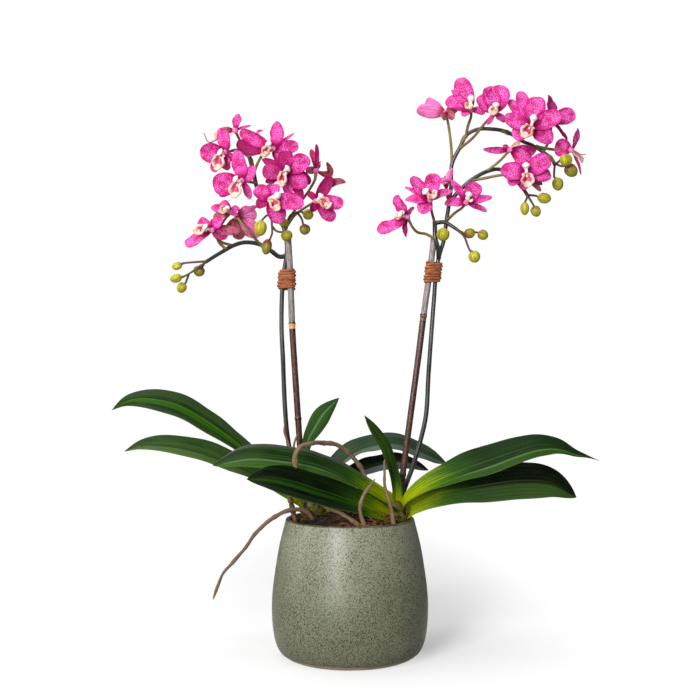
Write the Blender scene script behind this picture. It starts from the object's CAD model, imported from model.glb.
"""The looks of a potted miniature moth orchid with two staked flower spikes.

Routes and sizes are in millimetres, +Z up, the viewer at -Y, and the origin is the middle of the
pot's foot. The meshes are turned into metres as they are made.
"""

import math
from typing import NamedTuple

import bpy
import numpy as np
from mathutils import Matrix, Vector


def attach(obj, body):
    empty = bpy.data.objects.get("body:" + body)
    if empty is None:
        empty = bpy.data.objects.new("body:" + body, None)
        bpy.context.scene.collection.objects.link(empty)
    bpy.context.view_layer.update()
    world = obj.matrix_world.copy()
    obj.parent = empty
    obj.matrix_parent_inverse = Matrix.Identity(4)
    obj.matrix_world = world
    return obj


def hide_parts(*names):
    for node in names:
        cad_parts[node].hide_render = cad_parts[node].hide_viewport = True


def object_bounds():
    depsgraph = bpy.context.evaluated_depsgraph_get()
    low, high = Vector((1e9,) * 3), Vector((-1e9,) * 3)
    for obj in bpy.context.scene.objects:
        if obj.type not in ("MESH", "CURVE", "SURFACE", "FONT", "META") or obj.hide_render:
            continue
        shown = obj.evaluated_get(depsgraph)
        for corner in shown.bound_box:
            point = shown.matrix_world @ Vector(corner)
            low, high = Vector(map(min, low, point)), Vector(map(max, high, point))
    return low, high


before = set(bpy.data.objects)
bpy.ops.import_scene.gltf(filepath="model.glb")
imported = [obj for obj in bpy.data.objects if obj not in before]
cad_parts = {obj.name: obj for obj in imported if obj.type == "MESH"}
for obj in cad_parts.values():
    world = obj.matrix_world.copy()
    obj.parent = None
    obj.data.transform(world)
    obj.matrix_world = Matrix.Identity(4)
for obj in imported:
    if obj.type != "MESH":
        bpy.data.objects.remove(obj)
cad_low, cad_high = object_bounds()

MM = 0.001
SEED = 20
TURN = 2 * math.pi

# Camera
CAMERA_DISTANCE = 1.0
CAMERA_HEIGHT = 0.254
CAMERA_LENS = 61.714
SENSOR_WIDTH = 36

# Pot and fill
POT_HEIGHT = 114.4
POT_WALL = 4
POT_FLOOR = 6
RIM_ROUND = 1.6
POT_SIDES = 192
CAVITY_FLOOR_RADIUS = 54
FILL_EDGE_HEIGHT = 107
FILL_CROWN_HEIGHT = 118
FILL_RADIUS = 50.4
FILL_SIDES = 96

# The outer wall as (radius, height) from the foot to the rim, and the number of its widest point.
WALL = [
    (47.5, 0), (53.5, 1.4), (58.2, 5), (61.6, 11.5), (64, 23),
    (65, 39), (64.4, 54), (62, 72.5), (58.6, 92.5), (53.6, 112.8),
]
WIDEST = 5

# The pot's foot and the side of the fill, as (radius, height) from the axis outward.
FOOT = [(0, 1.2), (42, 1.2), (43, 0.2), (43.6, 0), (47.5, 0), (49.5, 0.15), (51.6, 0.6)]
FILL_SIDE = [(0, 7), (49, 7), (56, 20), (60, 40), (59, 60), (55.5, 85), (51, 104)]

# Plant parts
STAKE_RADIUS = 2.65
STAKE_NODE_RADIUS = 3.1
RECEPTACLE_RADIUS = 2.7
PEDICEL_RADII = (1.25, 1.05)
BUD_STALK_RADII = (1.0, 0.85)

# The numbers of the finishes in pieces that have more than one.
BED, COIR, MOSS = range(3)
SHEATH, BLADE, ROOTLET = range(3)
STEM, PEDICEL, STALK, BUD = range(4)
PETAL, TAN, DUSTY = range(3)
LIP, COLUMN = range(2)


# The plant's data

class Rod(NamedTuple):
    """A round part along a route, with its radii at both ends."""

    radii: tuple
    route: list


class Leaf(NamedTuple):
    """A blade along its rib.

    shape is the share of the width at the base, where the blade is widest, two powers that round
    its tip, and one that waists its base. The sides point across the blade at its base and tip.
    """

    width: float
    shape: tuple
    side_base: tuple
    side_tip: tuple
    rib: list


class Crown(NamedTuple):
    """The base that leaves grow from, with a small blade and root tips of its own."""

    at: tuple
    radii: tuple
    blade: Leaf
    rootlets: list


class Stake(NamedTuple):
    """A cane with the heights of its nodes. paleness is that of the cut at the upper one."""

    nodes: tuple
    paleness: float
    route: list


class Bud(NamedTuple):
    """ripeness goes from bright yellow-green at 0 to olive and red-brown at 1."""

    at: tuple
    tip: tuple
    width: float
    height: float
    ripeness: float
    stalk: list


class Spike(NamedTuple):
    """bracts are where dry scales wrap the stems, as (x, z)."""

    stems: list
    bracts: list
    buds: list


class Bloom(NamedTuple):
    """A flower about the point where its tepals meet.

    A tepal or lobe is its tip, its width and, for some, the point that its middle bends over, both
    from the bloom's middle. tones go from bright at 0 to dark crimson at 1; where there are none
    they are seeded. skins name the finish of single tepals, and of the lobes after them.
    """

    at: tuple
    face: tuple
    tepals: list
    pedicel: list
    lobes: tuple = ()
    column: tuple = None
    lip: tuple = None
    lip_half: float = 0
    tones: tuple = ()
    skins: dict = {}


LEAVES = {
    "leaf_left_long": Leaf(
        27, (0.25, 0.72, 2, 0.95, 2.5), (0.35, 0.75, 0.5), (0, 0.7, 0.72),
        [
            (-28, 5, 121), (-51, 11, 139), (-75, 22, 157), (-101, 28, 177), (-124, 32, 193),
            (-150, 34, 207), (-176, 35, 212), (-192, 36, 210), (-206, 36, 202),
        ],
    ),
    "leaf_left_low": Leaf(
        26, (0.32, 0.62, 2.6, 0.9, 1), (0.3, 0.75, 0.55), (0, 0.85, 0.5),
        [
            (-32, -3, 119), (-52, -3, 133), (-76, -4, 150), (-103, -6, 163), (-129, -10, 173),
            (-154, -14, 177), (-172, -16, 176), (-185, -18, 171),
        ],
    ),
    "leaf_back_arch": Leaf(
        28, (0.3, 0.62, 3, 0.85, 1), (0.6, -0.7, -0.2), (-0.2, -0.85, -0.5),
        [
            (-24, 9, 123), (-15, 18, 149), (-2, 32, 163), (17, 48, 171), (41, 64, 172), (63, 78, 164),
            (88, 90, 151),
        ],
    ),
    "leaf_back_low": Leaf(
        23, (0.35, 0.62, 3, 1, 1), (0.4, -0.8, -0.4), (-0.1, -0.85, -0.5),
        [(-18, 0, 118), (-6, 7, 138), (7, 22, 150), (26, 36, 156), (47, 48, 157), (69, 56, 148)],
    ),
    "leaf_front_upper": Leaf(
        30, (0.98, 0.62, 3, 0.9, 1), (-0.4, 0.7, 0.5), (0.1, 0.8, 0.6),
        [
            (33, -4, 120), (17, -12, 133), (-4, -21, 149), (-28, -30, 161), (-55, -37, 167),
            (-81, -42, 169), (-109, -46, 162),
        ],
    ),
    "leaf_front_lower": Leaf(
        28, (0.61, 0.62, 3, 0.9, 1), (-0.2, 0.6, 0.75), (0, 0.55, 0.83),
        [
            (35, -9, 113), (14, -30, 126), (-8, -46, 137), (-28, -58, 145), (-48, -65, 152),
            (-64, -69, 155), (-80, -72, 154),
        ],
    ),
    "leaf_right_upper": Leaf(
        31, (0.3, 0.52, 1.9, 1.3, 1.5), (-0.2, -0.5, -0.85), (-0.1, -0.8, -0.6),
        [
            (44, -3, 120), (50, -6, 131), (66, -10, 143), (81, -13, 150), (97, -15, 157), (116, -17, 164),
            (135, -19, 171), (153, -21, 176), (166, -21, 176), (174, -22, 174), (183, -22, 170),
            (194, -22, 167), (203, -22, 164),
        ],
    ),
    "leaf_right_lower": Leaf(
        36, (0.46, 0.62, 3, 0.9, 1), (-0.2, -0.6, -0.8), (0.1, -0.6, -0.8),
        [
            (44, 3, 114), (54, 6, 122), (79, 9, 133), (113, 10, 140), (146, 8, 144), (169, 5, 142),
            (189, 2, 131),
        ],
    ),
}
CROWNS = {
    "crown_left": Crown(
        (-31, 3, 123), (11, 8.5, 15),
        Leaf(
            15.5, (0.22, 0.76, 1.6, 1, 6), (1, 0.2, 0), (0.8, 0, 0.6),
            [(-32, 8, 128), (-37, 9, 153), (-36, 9, 176), (-29, 9, 190), (-22, 9, 201), (-9, 9, 214)],
        ),
        [
            Rod((1.6, 0.8), [
                (-32, 4, 128), (-43, 4, 147), (-49, 6, 166), (-53, 8, 179), (-55, 8, 186), (-55, 8, 192),
            ]),
            Rod((1.6, 0.8), [(-32, 2, 129), (-42, 0, 154), (-47, 0, 174), (-43, 0, 185)]),
        ],
    ),
    "crown_right": Crown(
        (39, 0, 116), (8, 8.5, 13),
        Leaf(
            10, (0.9, 0.62, 2.4, 1, 1), (1, 0.5, 0), (0.8, 0.5, 0.5),
            [(38, 0, 126), (38, -1, 142), (34, -2, 160), (29, -3, 174), (20, -4, 188), (12, -4, 200)],
        ),
        [],
    ),
}
ROOTS = {
    "root_hanging": Rod((2, 1), [
        (-30, -12, 112), (-34, -14, 120), (-42, -15, 123), (-52, -16, 122), (-64, -17, 116),
        (-76, -18, 105), (-83, -18, 96), (-95, -18, 81), (-105, -18, 69), (-112, -18, 50),
    ]),
    "root_loop": Rod((1.9, 1.7), [
        (-45, -4, 110), (-48, -9, 124), (-48, -30, 141), (-43, -54, 159), (-43, -56, 171), (-39, -55, 178),
        (-31, -49, 180), (-20, -33, 179), (-11, -25, 177), (0, -16, 169), (8, -8, 158), (14, -2, 144),
        (16, -1, 129), (17, -2, 113),
    ]),
    "root_forked": Rod((2, 1), [
        (14, -42, 108), (10, -47, 118), (8, -49, 129), (10, -48, 137), (14, -44, 143), (20, -41, 151),
    ]),
    "root_upright": Rod((1.9, 0.9), [
        (36, -27, 106), (34, -27, 123), (31, -27, 134), (28, -26, 144), (28, -25, 153), (28, -24, 165),
    ]),
}
ROOT_FORK = Rod((1.2, 2), [(-26, -24, 130), (-17, -31, 126), (-7, -38, 123), (2, -43, 118), (10, -44, 112)])
STAKES = {
    "stake_left": Stake((196, 276), 2, [
        (-39, 17, 109), (-42.5, 17, 173.5), (-47.5, 15, 250), (-49, 14, 275.5), (-50.5, 12, 323),
        (-52.5, 11, 353.5),
    ]),
    "stake_right": Stake((149, 283), 1.55, [
        (41.5, 14, 109.5), (44.5, 13, 149.5), (58, 13, 250), (62, 13, 282.5), (67.5, 12, 321.5),
        (71, 12, 348.5),
    ]),
}
SPIKES = {
    "spike_left": Spike(
        [
            Rod((2.1, 1.8), [
                (-34.5, 29, 107.5), (-40, 27, 134), (-52, 22, 173), (-57, 17, 250), (-58, 16, 279.5),
                (-56.5, 14, 315.5), (-54, 16, 332), (-53.5, 17, 342), (-57, 18, 360), (-68, 18, 376),
                (-78, 17, 389.5), (-82, 15, 406), (-86, 13, 421),
            ]),
            Rod((2, 1.6), [
                (-54.5, 16.5, 333.5), (-60, 15, 333), (-66.5, 13, 337.5), (-76, 11, 343),
                (-88.5, 9, 344.5), (-97, 7, 342), (-109, 4, 335), (-120.5, 2, 327.5),
            ]),
        ],
        [(-81, 411)],
        [
            Bud((-74, -9, 354.5), (-0.1, 0, -1), 10.5, 13, 0.1, [
                (-64, 17.5, 370), (-67, 11, 368), (-70, 2, 366), (-73, -7, 361),
            ]),
            Bud((-69, -4, 339.5), (-0.2, 0, -1), 8.5, 13, 0.95, [
                (-64, 17.5, 370), (-66, 12, 367), (-65.5, 6, 359.5), (-65, -1, 350.5), (-67.5, -3, 344.5),
            ]),
            Bud((-52.5, -2, 349), (0.4, 0, -0.9), 10, 9, 0.6, [
                (-65.5, 5, 358), (-61, 0, 353), (-55.5, -2, 352),
            ]),
            Bud((-55.5, 6, 360.5), (0, 0, -1), 8.5, 7.5, 0.25, [(-60, 17, 364), (-58, 10, 363.5)]),
            Bud((-35, 6, 367.5), (1, 0, -0.2), 9, 9, 0.5, [
                (-55, 18, 356.5), (-50, 13, 368), (-40.5, 8, 370),
            ]),
            Bud((-38, 6, 355), (0, 0, -1), 9.5, 9, 0.9, [(-44.5, 11, 370), (-40.5, 8, 364), (-39, 6, 359)]),
            Bud((-144.5, 2, 324), (-0.9, 0, -0.3), 7, 8.5, 0.2, [
                (-119.5, 2, 328), (-128.5, 2, 327.5), (-140.5, 2, 326),
            ]),
            Bud((-144.5, -4, 313.5), (-1, 0, -0.3), 7.5, 10, 0.15, [
                (-120.5, 2, 327), (-126.5, -1, 323), (-133, -2, 318), (-139.5, -4, 314.5),
            ]),
            Bud((-140.5, 2, 306), (-0.4, 0, -0.9), 8.5, 9, 0.15, [
                (-134, -2, 317.5), (-136, 1, 313), (-138, 2, 309),
            ]),
            Bud((-126.5, 6, 320), (-0.3, 0, -0.9), 10, 9, 0.85, [(-121, 2, 327.5), (-124, 5, 323.5)]),
        ],
    ),
    "spike_right": Spike(
        [
            Rod((2.1, 1.5), [
                (39, 22, 108.5), (45.5, 21, 133), (53.5, 20, 155.5), (60.5, 19, 179.5), (64.5, 18, 199),
                (66.5, 17, 233), (68.5, 16, 262.5), (71, 15, 296.5), (73, 14, 321.5), (76, 14, 336),
                (79, 14, 345.5), (81.5, 14, 363), (83.5, 14, 376.5), (85.5, 14, 393.5), (86, 14, 410.5),
                (92.5, 13, 424.5), (98.5, 12, 435.5), (108, 11, 440), (118, 10, 440), (129, 10, 438.5),
                (138, 10, 434.5), (145.5, 10, 429.5), (153, 10, 426.5), (163, 9, 420), (169.5, 8, 414.5),
                (172, 7, 409),
            ]),
            Rod((2, 1.9), [(75, 13.5, 331.5), (74, 6, 338.5), (71.5, 4, 347.5), (71, 6, 362)]),
            Rod((1.9, 1.4), [(71, 6, 360.5), (79, 5, 361), (85.5, 4, 357.5), (90.5, 3, 354)]),
            Rod((1.8, 1.5), [
                (84, 14, 378), (89.5, 13, 385.5), (95.5, 12, 391.5), (102, 11, 397), (114.5, 10, 404),
                (126, 10, 406), (136, 9, 399.5), (145.5, 7, 389), (149.5, 5, 382),
            ]),
        ],
        [(92, 431), (127, 439), (132, 439), (165, 419), (168, 417), (116, 403), (90, 353)],
        [
            Bud((77.5, -2, 350), (-0.2, 0, -1), 11, 11, 0.1, [(80.5, 7, 361.5), (79.5, 1, 356.5)]),
            Bud((100, 2, 351.5), (0.9, 0, 0.3), 8.5, 9.5, 0.75, [(88.5, 4, 355), (95.5, 3, 351.5)]),
            Bud((111, 2, 350), (0.9, 0, -0.4), 9, 9, 0.6, [(101, 2, 352.5), (107, 2, 352)]),
            Bud((103.5, -2, 331.5), (0.3, 0, -0.9), 10, 10, 0.15, [
                (89.5, 3, 354.5), (95, 1, 349), (98, -1, 341), (100, -2, 336.5),
            ]),
            Bud((146, 2, 372), (0, 0, -1), 7.5, 11, 0.25, [(149, 5, 383), (146.5, 3, 378)]),
            Bud((155.5, 4, 370), (0.4, 0, -0.9), 8.5, 9.5, 0.6, [(149, 5, 383), (153.5, 5, 375.5)]),
            Bud((162, 0, 380.5), (1, 0, -0.1), 9, 11.5, 0.3, [(148.5, 5, 384), (156, 2, 382.5)]),
            Bud((173.5, 2, 392.5), (0.1, 0, -1), 9.5, 11, 0.15, [
                (172, 7, 410), (171, 5, 404), (171, 3, 398),
            ]),
            Bud((177.5, -13, 410), (0.2, 0, -1), 10.5, 10.5, 0.5, [
                (172, 7, 410), (174, -2, 411), (175, -10, 413),
            ]),
            Bud((183.5, -4, 403), (0.7, 0, -0.7), 10.5, 12, 0.85, [
                (172.5, 6, 410), (176.5, -1, 407), (179.5, -3, 407),
            ]),
        ],
    ),
}
BLOOMS = {
    "bloom_left_1": Bloom(
        (-96, 4, 437.5), (-0.55, -0.8, 0.1),
        [((2.5, 0, 14), 8, (2.5, 0, 6.5)), ((13, 3, 5), 2.5), ((-13.5, -1, 0), 5)],
        [(-85.5, 13, 417), (-90.5, 14, 426.5), (-94.5, 13, 434)],
        lobes=[((-17.5, -2, -5.5), 9), ((-26, -4, -2.5), 2, (-21.5, -4, -10.5))],
        skins={2: DUSTY},
    ),
    "bloom_left_2": Bloom(
        (-103, -12, 416.5), (-0.35, -0.85, -0.3),
        [
            ((-20.5, -2, 0), 15), ((-5.5, 3, 20), 11, (3, 3, 9)), ((6.5, 3, -5.5), 8.5),
            ((-10.5, 1, -15.5), 8), ((1.5, 2, -14.5), 9),
        ],
        [(-84.5, 13, 416), (-93, 12, 422.5), (-99.5, 4, 420.5)],
        column=(-3.5, -4, 1), lip=(-4.5, -5, -13.5), lip_half=6.2,
        tones=(0.1, 0.2, 0.5, 0.75, 0.6),
    ),
    "bloom_left_3": Bloom(
        (-64, 2, 422), (-0.45, -0.85, -0.1),
        [
            ((2, 0, 23), 11.5, (5.5, 0, 11)), ((21, 0, 2.5), 10), ((-27.5, -4, 14), 10),
            ((-30.5, 1, 6), 10, (-19.5, 1, -1.5)), ((9.5, 2, -10), 10), ((17.5, 4, 14), 2.5),
            ((-8.5, 5, 16), 2.5, (-21.5, 5, 17)), ((-22, 6, -5.5), 2),
        ],
        [(-81, 15, 404.5), (-77.5, 14, 413), (-73.5, 12, 418.5)],
        column=(-3, -4, 5), lip=(-6.5, -5, -6.5), lip_half=4.4,
        tones=(0.3, 0.25, 0.4, 0.95, 0.6),
    ),
    "bloom_left_4": Bloom(
        (-88, -25, 391.5), (-0.35, -0.9, -0.2),
        [
            ((-6, 3, 25.5), 12, (0.5, 3, 11)), ((-23, -3, -4.5), 16.5), ((10, 0, 12.5), 9, (6.5, 0, 2.5)),
            ((-18.5, 3, -12), 8), ((6.5, 3, -15), 6.5, (5.5, 3, -6)),
        ],
        [(-79.5, 16, 395.5), (-83.5, 4, 394.5)],
        column=(-5, -4, 2), lip=(-4.5, -5, -13), lip_half=6,
        tones=(0.15, 0.1, 0.3, 0.5, 0.7),
    ),
    "bloom_left_5": Bloom(
        (-53, -6, 401.5), (-0.15, -0.95, 0.1),
        [
            ((-0.5, 4, 18.5), 12), ((19.5, 0, 11.5), 14.5), ((-19.5, -3, -0.5), 13), ((17.5, 2, -12), 13),
            ((21, 7, -7.5), 10.5), ((-17, 3, -8.5), 6.5), ((-20, 5, 11.5), 6.5), ((14, 7, -20), 7.5),
            ((2.5, 4, -19), 8.5),
        ],
        [(-77, 17, 388), (-67, 16, 394.5), (-59, 12, 400.5)],
        column=(3.5, -4, 2.5), lip=(-3, -5, -11.5), lip_half=4.2,
        tones=(1.0, 0.1, 0.85, 0.4, 0.95, 0.95, 1.0, 1.0, 0.6),
    ),
    "bloom_left_6": Bloom(
        (-65.5, -19, 376.5), (0.1, -0.95, 0.2),
        [
            ((-11.5, 0, 10.5), 12), ((4.5, 5, 14), 9), ((28, 0, -3), 13.5), ((9, 3, -18.5), 14),
            ((-11.5, 2, -4.5), 8), ((29, 6, 3), 6.5),
        ],
        [(-63, 18, 370), (-64.5, 4, 375.5)],
        column=(9, -4, 3.5), lip=(6, -5, -8), lip_half=4.6,
        tones=(0.4, 0.5, 0.15, 0.3, 1.0, 0.9),
    ),
    "bloom_left_7": Bloom(
        (-28.5, 8, 404.5), (0.6, -0.75, 0.15),
        [((0.5, 0, 22.5), 4.5), ((-4.5, 3, 18.5), 7), ((-9, 2, 0.5), 6.5), ((2.5, -1, 8), 4)],
        [(-55, 18, 355), (-50, 20, 368), (-42.5, 20, 379), (-34.5, 16, 389.5), (-29.5, 12, 398)],
        lobes=[((9.5, -2, 7.5), 6.5, (16, -2, -9.5)), ((4, -2, 8), 2.5)],
        tones=(0.9, 0.2, 0.6, 1.0), skins={1: TAN, 2: DUSTY, 4: DUSTY},
    ),
    "bloom_left_8": Bloom(
        (-28.5, 0, 378), (0.35, -0.9, 0.1),
        [
            ((13, 0, 21), 9.5), ((25, 6, 16.5), 6, (10.5, 6, 21)), ((23, 0, -2.5), 11),
            ((15, 2, -16), 11.5), ((-6.5, 3, 8), 6), ((-3.5, 3, -8.5), 6),
        ],
        [(-55, 18, 356.5), (-47.5, 17, 367.5), (-38, 12, 374)],
        column=(5, -4, 4.5), lip=(10, -5, -5), lip_half=4.8,
        tones=(0.95, 0.8, 0.65, 0.8, 1.0, 1.0), skins={1: DUSTY},
    ),
    "bloom_left_9": Bloom(
        (-99, -8, 368), (-0.45, -0.8, 0.2),
        [
            ((-8.5, 0, 8), 10), ((7.5, 2, 4), 6.5), ((-16, 1, 4.5), 6.5), ((-14, 0, -5.5), 7.5),
            ((6, -2, -2.5), 4),
        ],
        [(-104, 5, 338.5), (-110, 0, 345.5), (-107.5, -2, 357)],
        column=(-1.5, -4, 3), lip=(-5.5, -5, -1.5), lip_half=4.4,
        skins={3: DUSTY},
    ),
    "bloom_left_10": Bloom(
        (-113, -18, 352), (-0.6, -0.75, 0.1),
        [((-10.5, 0, 9), 10), ((8, 3, 10), 11), ((23, 6, 0), 8), ((12.5, 4, -5), 8), ((-21, -3, -13), 10)],
        [(-98, 7, 341.5), (-107, 2, 344), (-112, -6, 348.5)],
        column=(-4.5, -4, 3), lip=(-11.5, -5, -3), lip_half=4.8,
        skins={2: DUSTY},
    ),
    "bloom_left_11": Bloom(
        (-94.5, 2, 365), (-0.5, 0.7, 0.3),
        [
            ((16.5, 4, 3), 13.5), ((18.5, 6, -15.5), 13.5), ((2.5, 0, -19), 11), ((17, 0, 9), 5),
            ((-11.5, 5, -17), 7.5),
        ],
        [(-74, 11, 341.5), (-83, -3, 351), (-90.5, -4, 360)],
        skins={2: DUSTY, 4: DUSTY},
    ),
    "bloom_right_1": Bloom(
        (80, 2, 452), (0, 0.9, 0.45),
        [
            ((-14.5, 4, 13.5), 10, (-12.5, 4, 4)), ((-24.5, 1, 2.5), 11.5), ((10, -3, 4), 7.5),
            ((-3, -6, -6), 6.5), ((7, -6, -5.5), 6.5),
        ],
        [(86, 14, 409.5), (85.5, 13, 424.5), (82.5, 8, 444)],
        skins={2: DUSTY, 3: DUSTY, 4: DUSTY},
    ),
    "bloom_right_2": Bloom(
        (100.5, -6, 453), (-0.3, -0.85, 0.35),
        [
            ((-10, 2, 27), 13.5), ((-16.5, 0, 16.5), 5), ((-21, 2, 8.5), 11.5), ((11.5, 0, -2.5), 6.5),
            ((-8, 1, -4.5), 7.5),
        ],
        [(97.5, 12, 433), (99, 8, 442), (101, 2, 448.5)],
        column=(0.5, -4, 10), lip=(-2.5, -5, -1), lip_half=3.8,
    ),
    "bloom_right_3": Bloom(
        (119, -14, 448.5), (0, -0.85, 0.5),
        [
            ((-12.5, 1, 15), 15.5), ((6, 3, 24), 16.5), ((-5.5, 2, 22), 13), ((-6, 1, -9.5), 4),
            ((8.5, 1, -7), 6.5),
        ],
        [(92.5, 13, 424), (102.5, 7, 431.5), (113, -3, 443.5)],
        column=(0.5, -4, 6), lip=(-3, -5, -2.5), lip_half=4.2,
    ),
    "bloom_right_4": Bloom(
        (148, -20, 435.5), (-0.1, -0.95, 0.2),
        [
            ((6, 4, 26), 15), ((-22.5, -2, 8.5), 12), ((24, 0, 11), 14.5), ((18, 2, -11), 13.5),
            ((-15, 0, -7.5), 12), ((-17, 9, 24.5), 8), ((-8, 10, 31.5), 10.5),
        ],
        [(143, 10, 431), (145.5, 2, 432)],
        column=(2, -4, 9), lip=(-6.5, -5, -8), lip_half=5.8,
    ),
    "bloom_right_5": Bloom(
        (168.5, 6, 446), (0.7, -0.6, 0.2),
        [((-1.5, 3, 22.5), 12), ((20, 0, 6.5), 12.5), ((14.5, 3, -16), 5)],
        [(162.5, 9, 420.5), (168, 12, 431), (169.5, 12, 441)],
        tones=(0.85, 0.6, 0.95),
    ),
    "bloom_right_6": Bloom(
        (184, -2, 420.5), (0.75, -0.5, -0.2),
        [((6, 2, 18.5), 8.5), ((2, -4, 11), 6.5), ((-13.5, 2, 3), 13.5), ((9, 2, -20.5), 4)],
        [(156.5, 10, 425.5), (166.5, 8, 423), (177, 3, 421)],
        lobes=[((8.5, -4, -11.5), 9), ((11, -6, -4.5), 2)],
    ),
    "bloom_right_7": Bloom(
        (144, -17, 397.5), (0, -0.95, 0.25),
        [
            ((-21, -1, 3.5), 14.5), ((19, 0, 14.5), 14.5), ((21, 2, 0), 11.5), ((-14.5, 2, -6.5), 9),
            ((15, 7, -7), 5), ((13.5, 7, -12.5), 5), ((-2, 4, -11.5), 8),
        ],
        [(103, 11, 397), (111, 9, 398), (126, 2, 400), (138, -8, 398.5)],
        column=(-1, -4, 8.5), lip=(0.5, -5, -9.5), lip_half=6,
        skins={4: DUSTY, 5: DUSTY},
    ),
    "bloom_right_8": Bloom(
        (133, -2, 420.5), (-0.1, -0.7, -0.6),
        [
            ((-22, 2, 1), 6), ((15, -1, -13.5), 13.5, (10, -1, -2)), ((22, 2, -0.5), 11),
            ((-5.5, 2, 3.5), 6.5),
        ],
        [(114.5, 10, 404), (126, 6, 413)],
        lobes=[((8, -3, 7), 5)],
    ),
    "bloom_right_9": Bloom(
        (47, -12, 363.5), (-0.75, -0.6, 0.1),
        [
            ((-8.5, -2, 18), 11), ((-25, -3, -10.5), 11.5, (-11, -3, -9.5)), ((-1, 2, -16.5), 5.5),
            ((5.5, 3, 8.5), 6.5),
        ],
        [(71.5, 4, 347), (63.5, 4, 351), (56.5, 0, 352), (52, -6, 355.5)],
        column=(-3.5, -4, 3.5), lip=(-6, -5, -2), lip_half=4.4,
        tones=(0.4, 0.2, 0.9, 0.95),
    ),
    "bloom_right_10": Bloom(
        (65.5, -17, 376.5), (-0.05, -0.75, 0.6),
        [
            ((-15.5, 2, 19), 11.5), ((4, 3, 22.5), 12), ((-20.5, -1, 0.5), 9), ((-7.5, -3, -11), 11.5),
            ((18.5, 2, 9), 7.5), ((-20.5, 5, 11.5), 4),
        ],
        [(71, 6, 360.5), (68, -2, 369)],
        column=(-5.5, -4, 6.5), lip=(3, -5, 0.5), lip_half=6,
    ),
    "bloom_right_11": Bloom(
        (96, -8, 375.5), (0.2, -0.85, 0.45),
        [
            ((-12, 4, 20), 6.5), ((9.5, 2, 17), 12.5), ((21.5, 0, 5), 6.5), ((17.5, 2, -6.5), 5.5),
            ((-18, 0, 0), 8.5),
        ],
        [(81.5, 14, 363), (88, 6, 369), (93, -3, 372)],
        column=(1.5, -4, 7), lip=(-0.5, -5, 2.5), lip_half=4.4,
    ),
    "bloom_right_12": Bloom(
        (80.5, 6, 392.5), (-0.1, 0.9, 0.4),
        [((5.5, 1, 14), 5), ((-4, 3, 6.5), 5), ((2.5, 5, 8.5), 6.5)],
        [(84, 14, 378), (81.5, 9, 384.5)],
        skins={2: DUSTY},
    ),
}

# Each tie as its stake, its spike and the height of its middle.
TIES = {
    "tie_left": ("stake_left", "spike_left", 314),
    "tie_right": ("stake_right", "spike_right", 320),
}


# Numbers

def draws(*key):
    """A seeded source of random numbers for one piece."""
    return np.random.default_rng((SEED,) + key)


def unit(vectors):
    return vectors / np.linalg.norm(vectors, axis=-1, keepdims=True)


def mix(a, b, share):
    return a + (b - a) * share


def eased(low, high, x):
    """0 below low and 1 above high, with a smooth rise between."""
    share = np.clip((np.asarray(x, float) - low) / (high - low), 0, 1)
    return share * share * (3 - 2 * share)


def bell(x, middle, width):
    """1 at the middle, dying away smoothly over the width."""
    return np.exp(-(((x - middle) / width) ** 2))


def listed(values):
    return np.array(values, float)


def angles_round(count):
    return np.linspace(0, TURN, count, endpoint=False)


def across_row(columns):
    """The shares across a sheet, from -1 to 1, as one row."""
    return np.linspace(-1, 1, columns)[None]


def stacked(*values):
    """Values that fit each other by broadcasting, as one array of vectors."""
    return np.stack(np.broadcast_arrays(*values), axis=-1)


# Routes

SPAN_POINTS = 20


def curve_through(route):
    """Many points of a centripetal Catmull-Rom curve through a route."""
    p = listed(route)
    p = np.vstack([2 * p[0] - p[1], p, 2 * p[-1] - p[-2]])
    s = np.linspace(0, 1, SPAN_POINTS, endpoint=False)[:, None]
    out = []
    for a, b, c, d in zip(p, p[1:], p[2:], p[3:]):
        step = [math.sqrt(max(np.linalg.norm(v), 1e-4)) for v in (b - a, c - b, d - c)]
        leave = (b - a) / step[0] - (c - a) / (step[0] + step[1]) + (c - b) / step[1]
        reach = (c - b) / step[1] - (d - b) / (step[1] + step[2]) + (d - c) / step[2]
        leave, reach = leave * step[1], reach * step[1]
        square = 3 * (c - b) - 2 * leave - reach
        cube = 2 * (b - c) + leave + reach
        out.append(b + leave * s + square * s**2 + cube * s**3)
    return np.vstack([*out, p[-2]])


def lengths_along(points):
    return np.concatenate([[0], np.cumsum(np.linalg.norm(np.diff(points, axis=0), axis=1))])


def points_at(points, shares):
    """Points at the given shares of a dense route's length."""
    run = lengths_along(points)
    return np.stack([np.interp(shares * run[-1], run, points[:, k]) for k in range(3)], axis=1)


def smoothed(route, count):
    return points_at(curve_through(route), np.linspace(0, 1, count))


def steady_frames(points, start=(1, 0.3, 0.2)):
    """Two directions across a route that don't spin."""
    tangents = unit(np.gradient(points, axis=0))
    across = []
    last = listed(start)
    for tangent in tangents:
        last = unit(last - tangent * (last @ tangent))
        across.append(last)
    across = np.array(across)
    return across, np.cross(tangents, across)


def grid_about(line, side, across, normal, rise):
    """A grid of points about a line: across lies along side, and rise along normal."""
    return line[:, None] + side * across[..., None] + normal * rise[..., None]


def waves(draw, count, shortest, longest, positions):
    """Smooth seeded noise about 0 along a line."""
    total = np.zeros_like(positions, dtype=float)
    for _ in range(count):
        wave = TURN / draw.uniform(shortest, longest)
        total += np.sin(positions * wave + draw.uniform(0, TURN))
    return total / count


# Surfaces

def border(numbers):
    """The vertex numbers round a grid, in order."""
    n = numbers
    return np.concatenate([n[0, :-1], n[:-1, -1], n[-1, :0:-1], n[:0:-1, 0]])


def in_scene(name, data):
    """A new object of the scene."""
    made = bpy.data.objects.new(name, data)
    bpy.context.scene.collection.objects.link(made)
    return made


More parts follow.
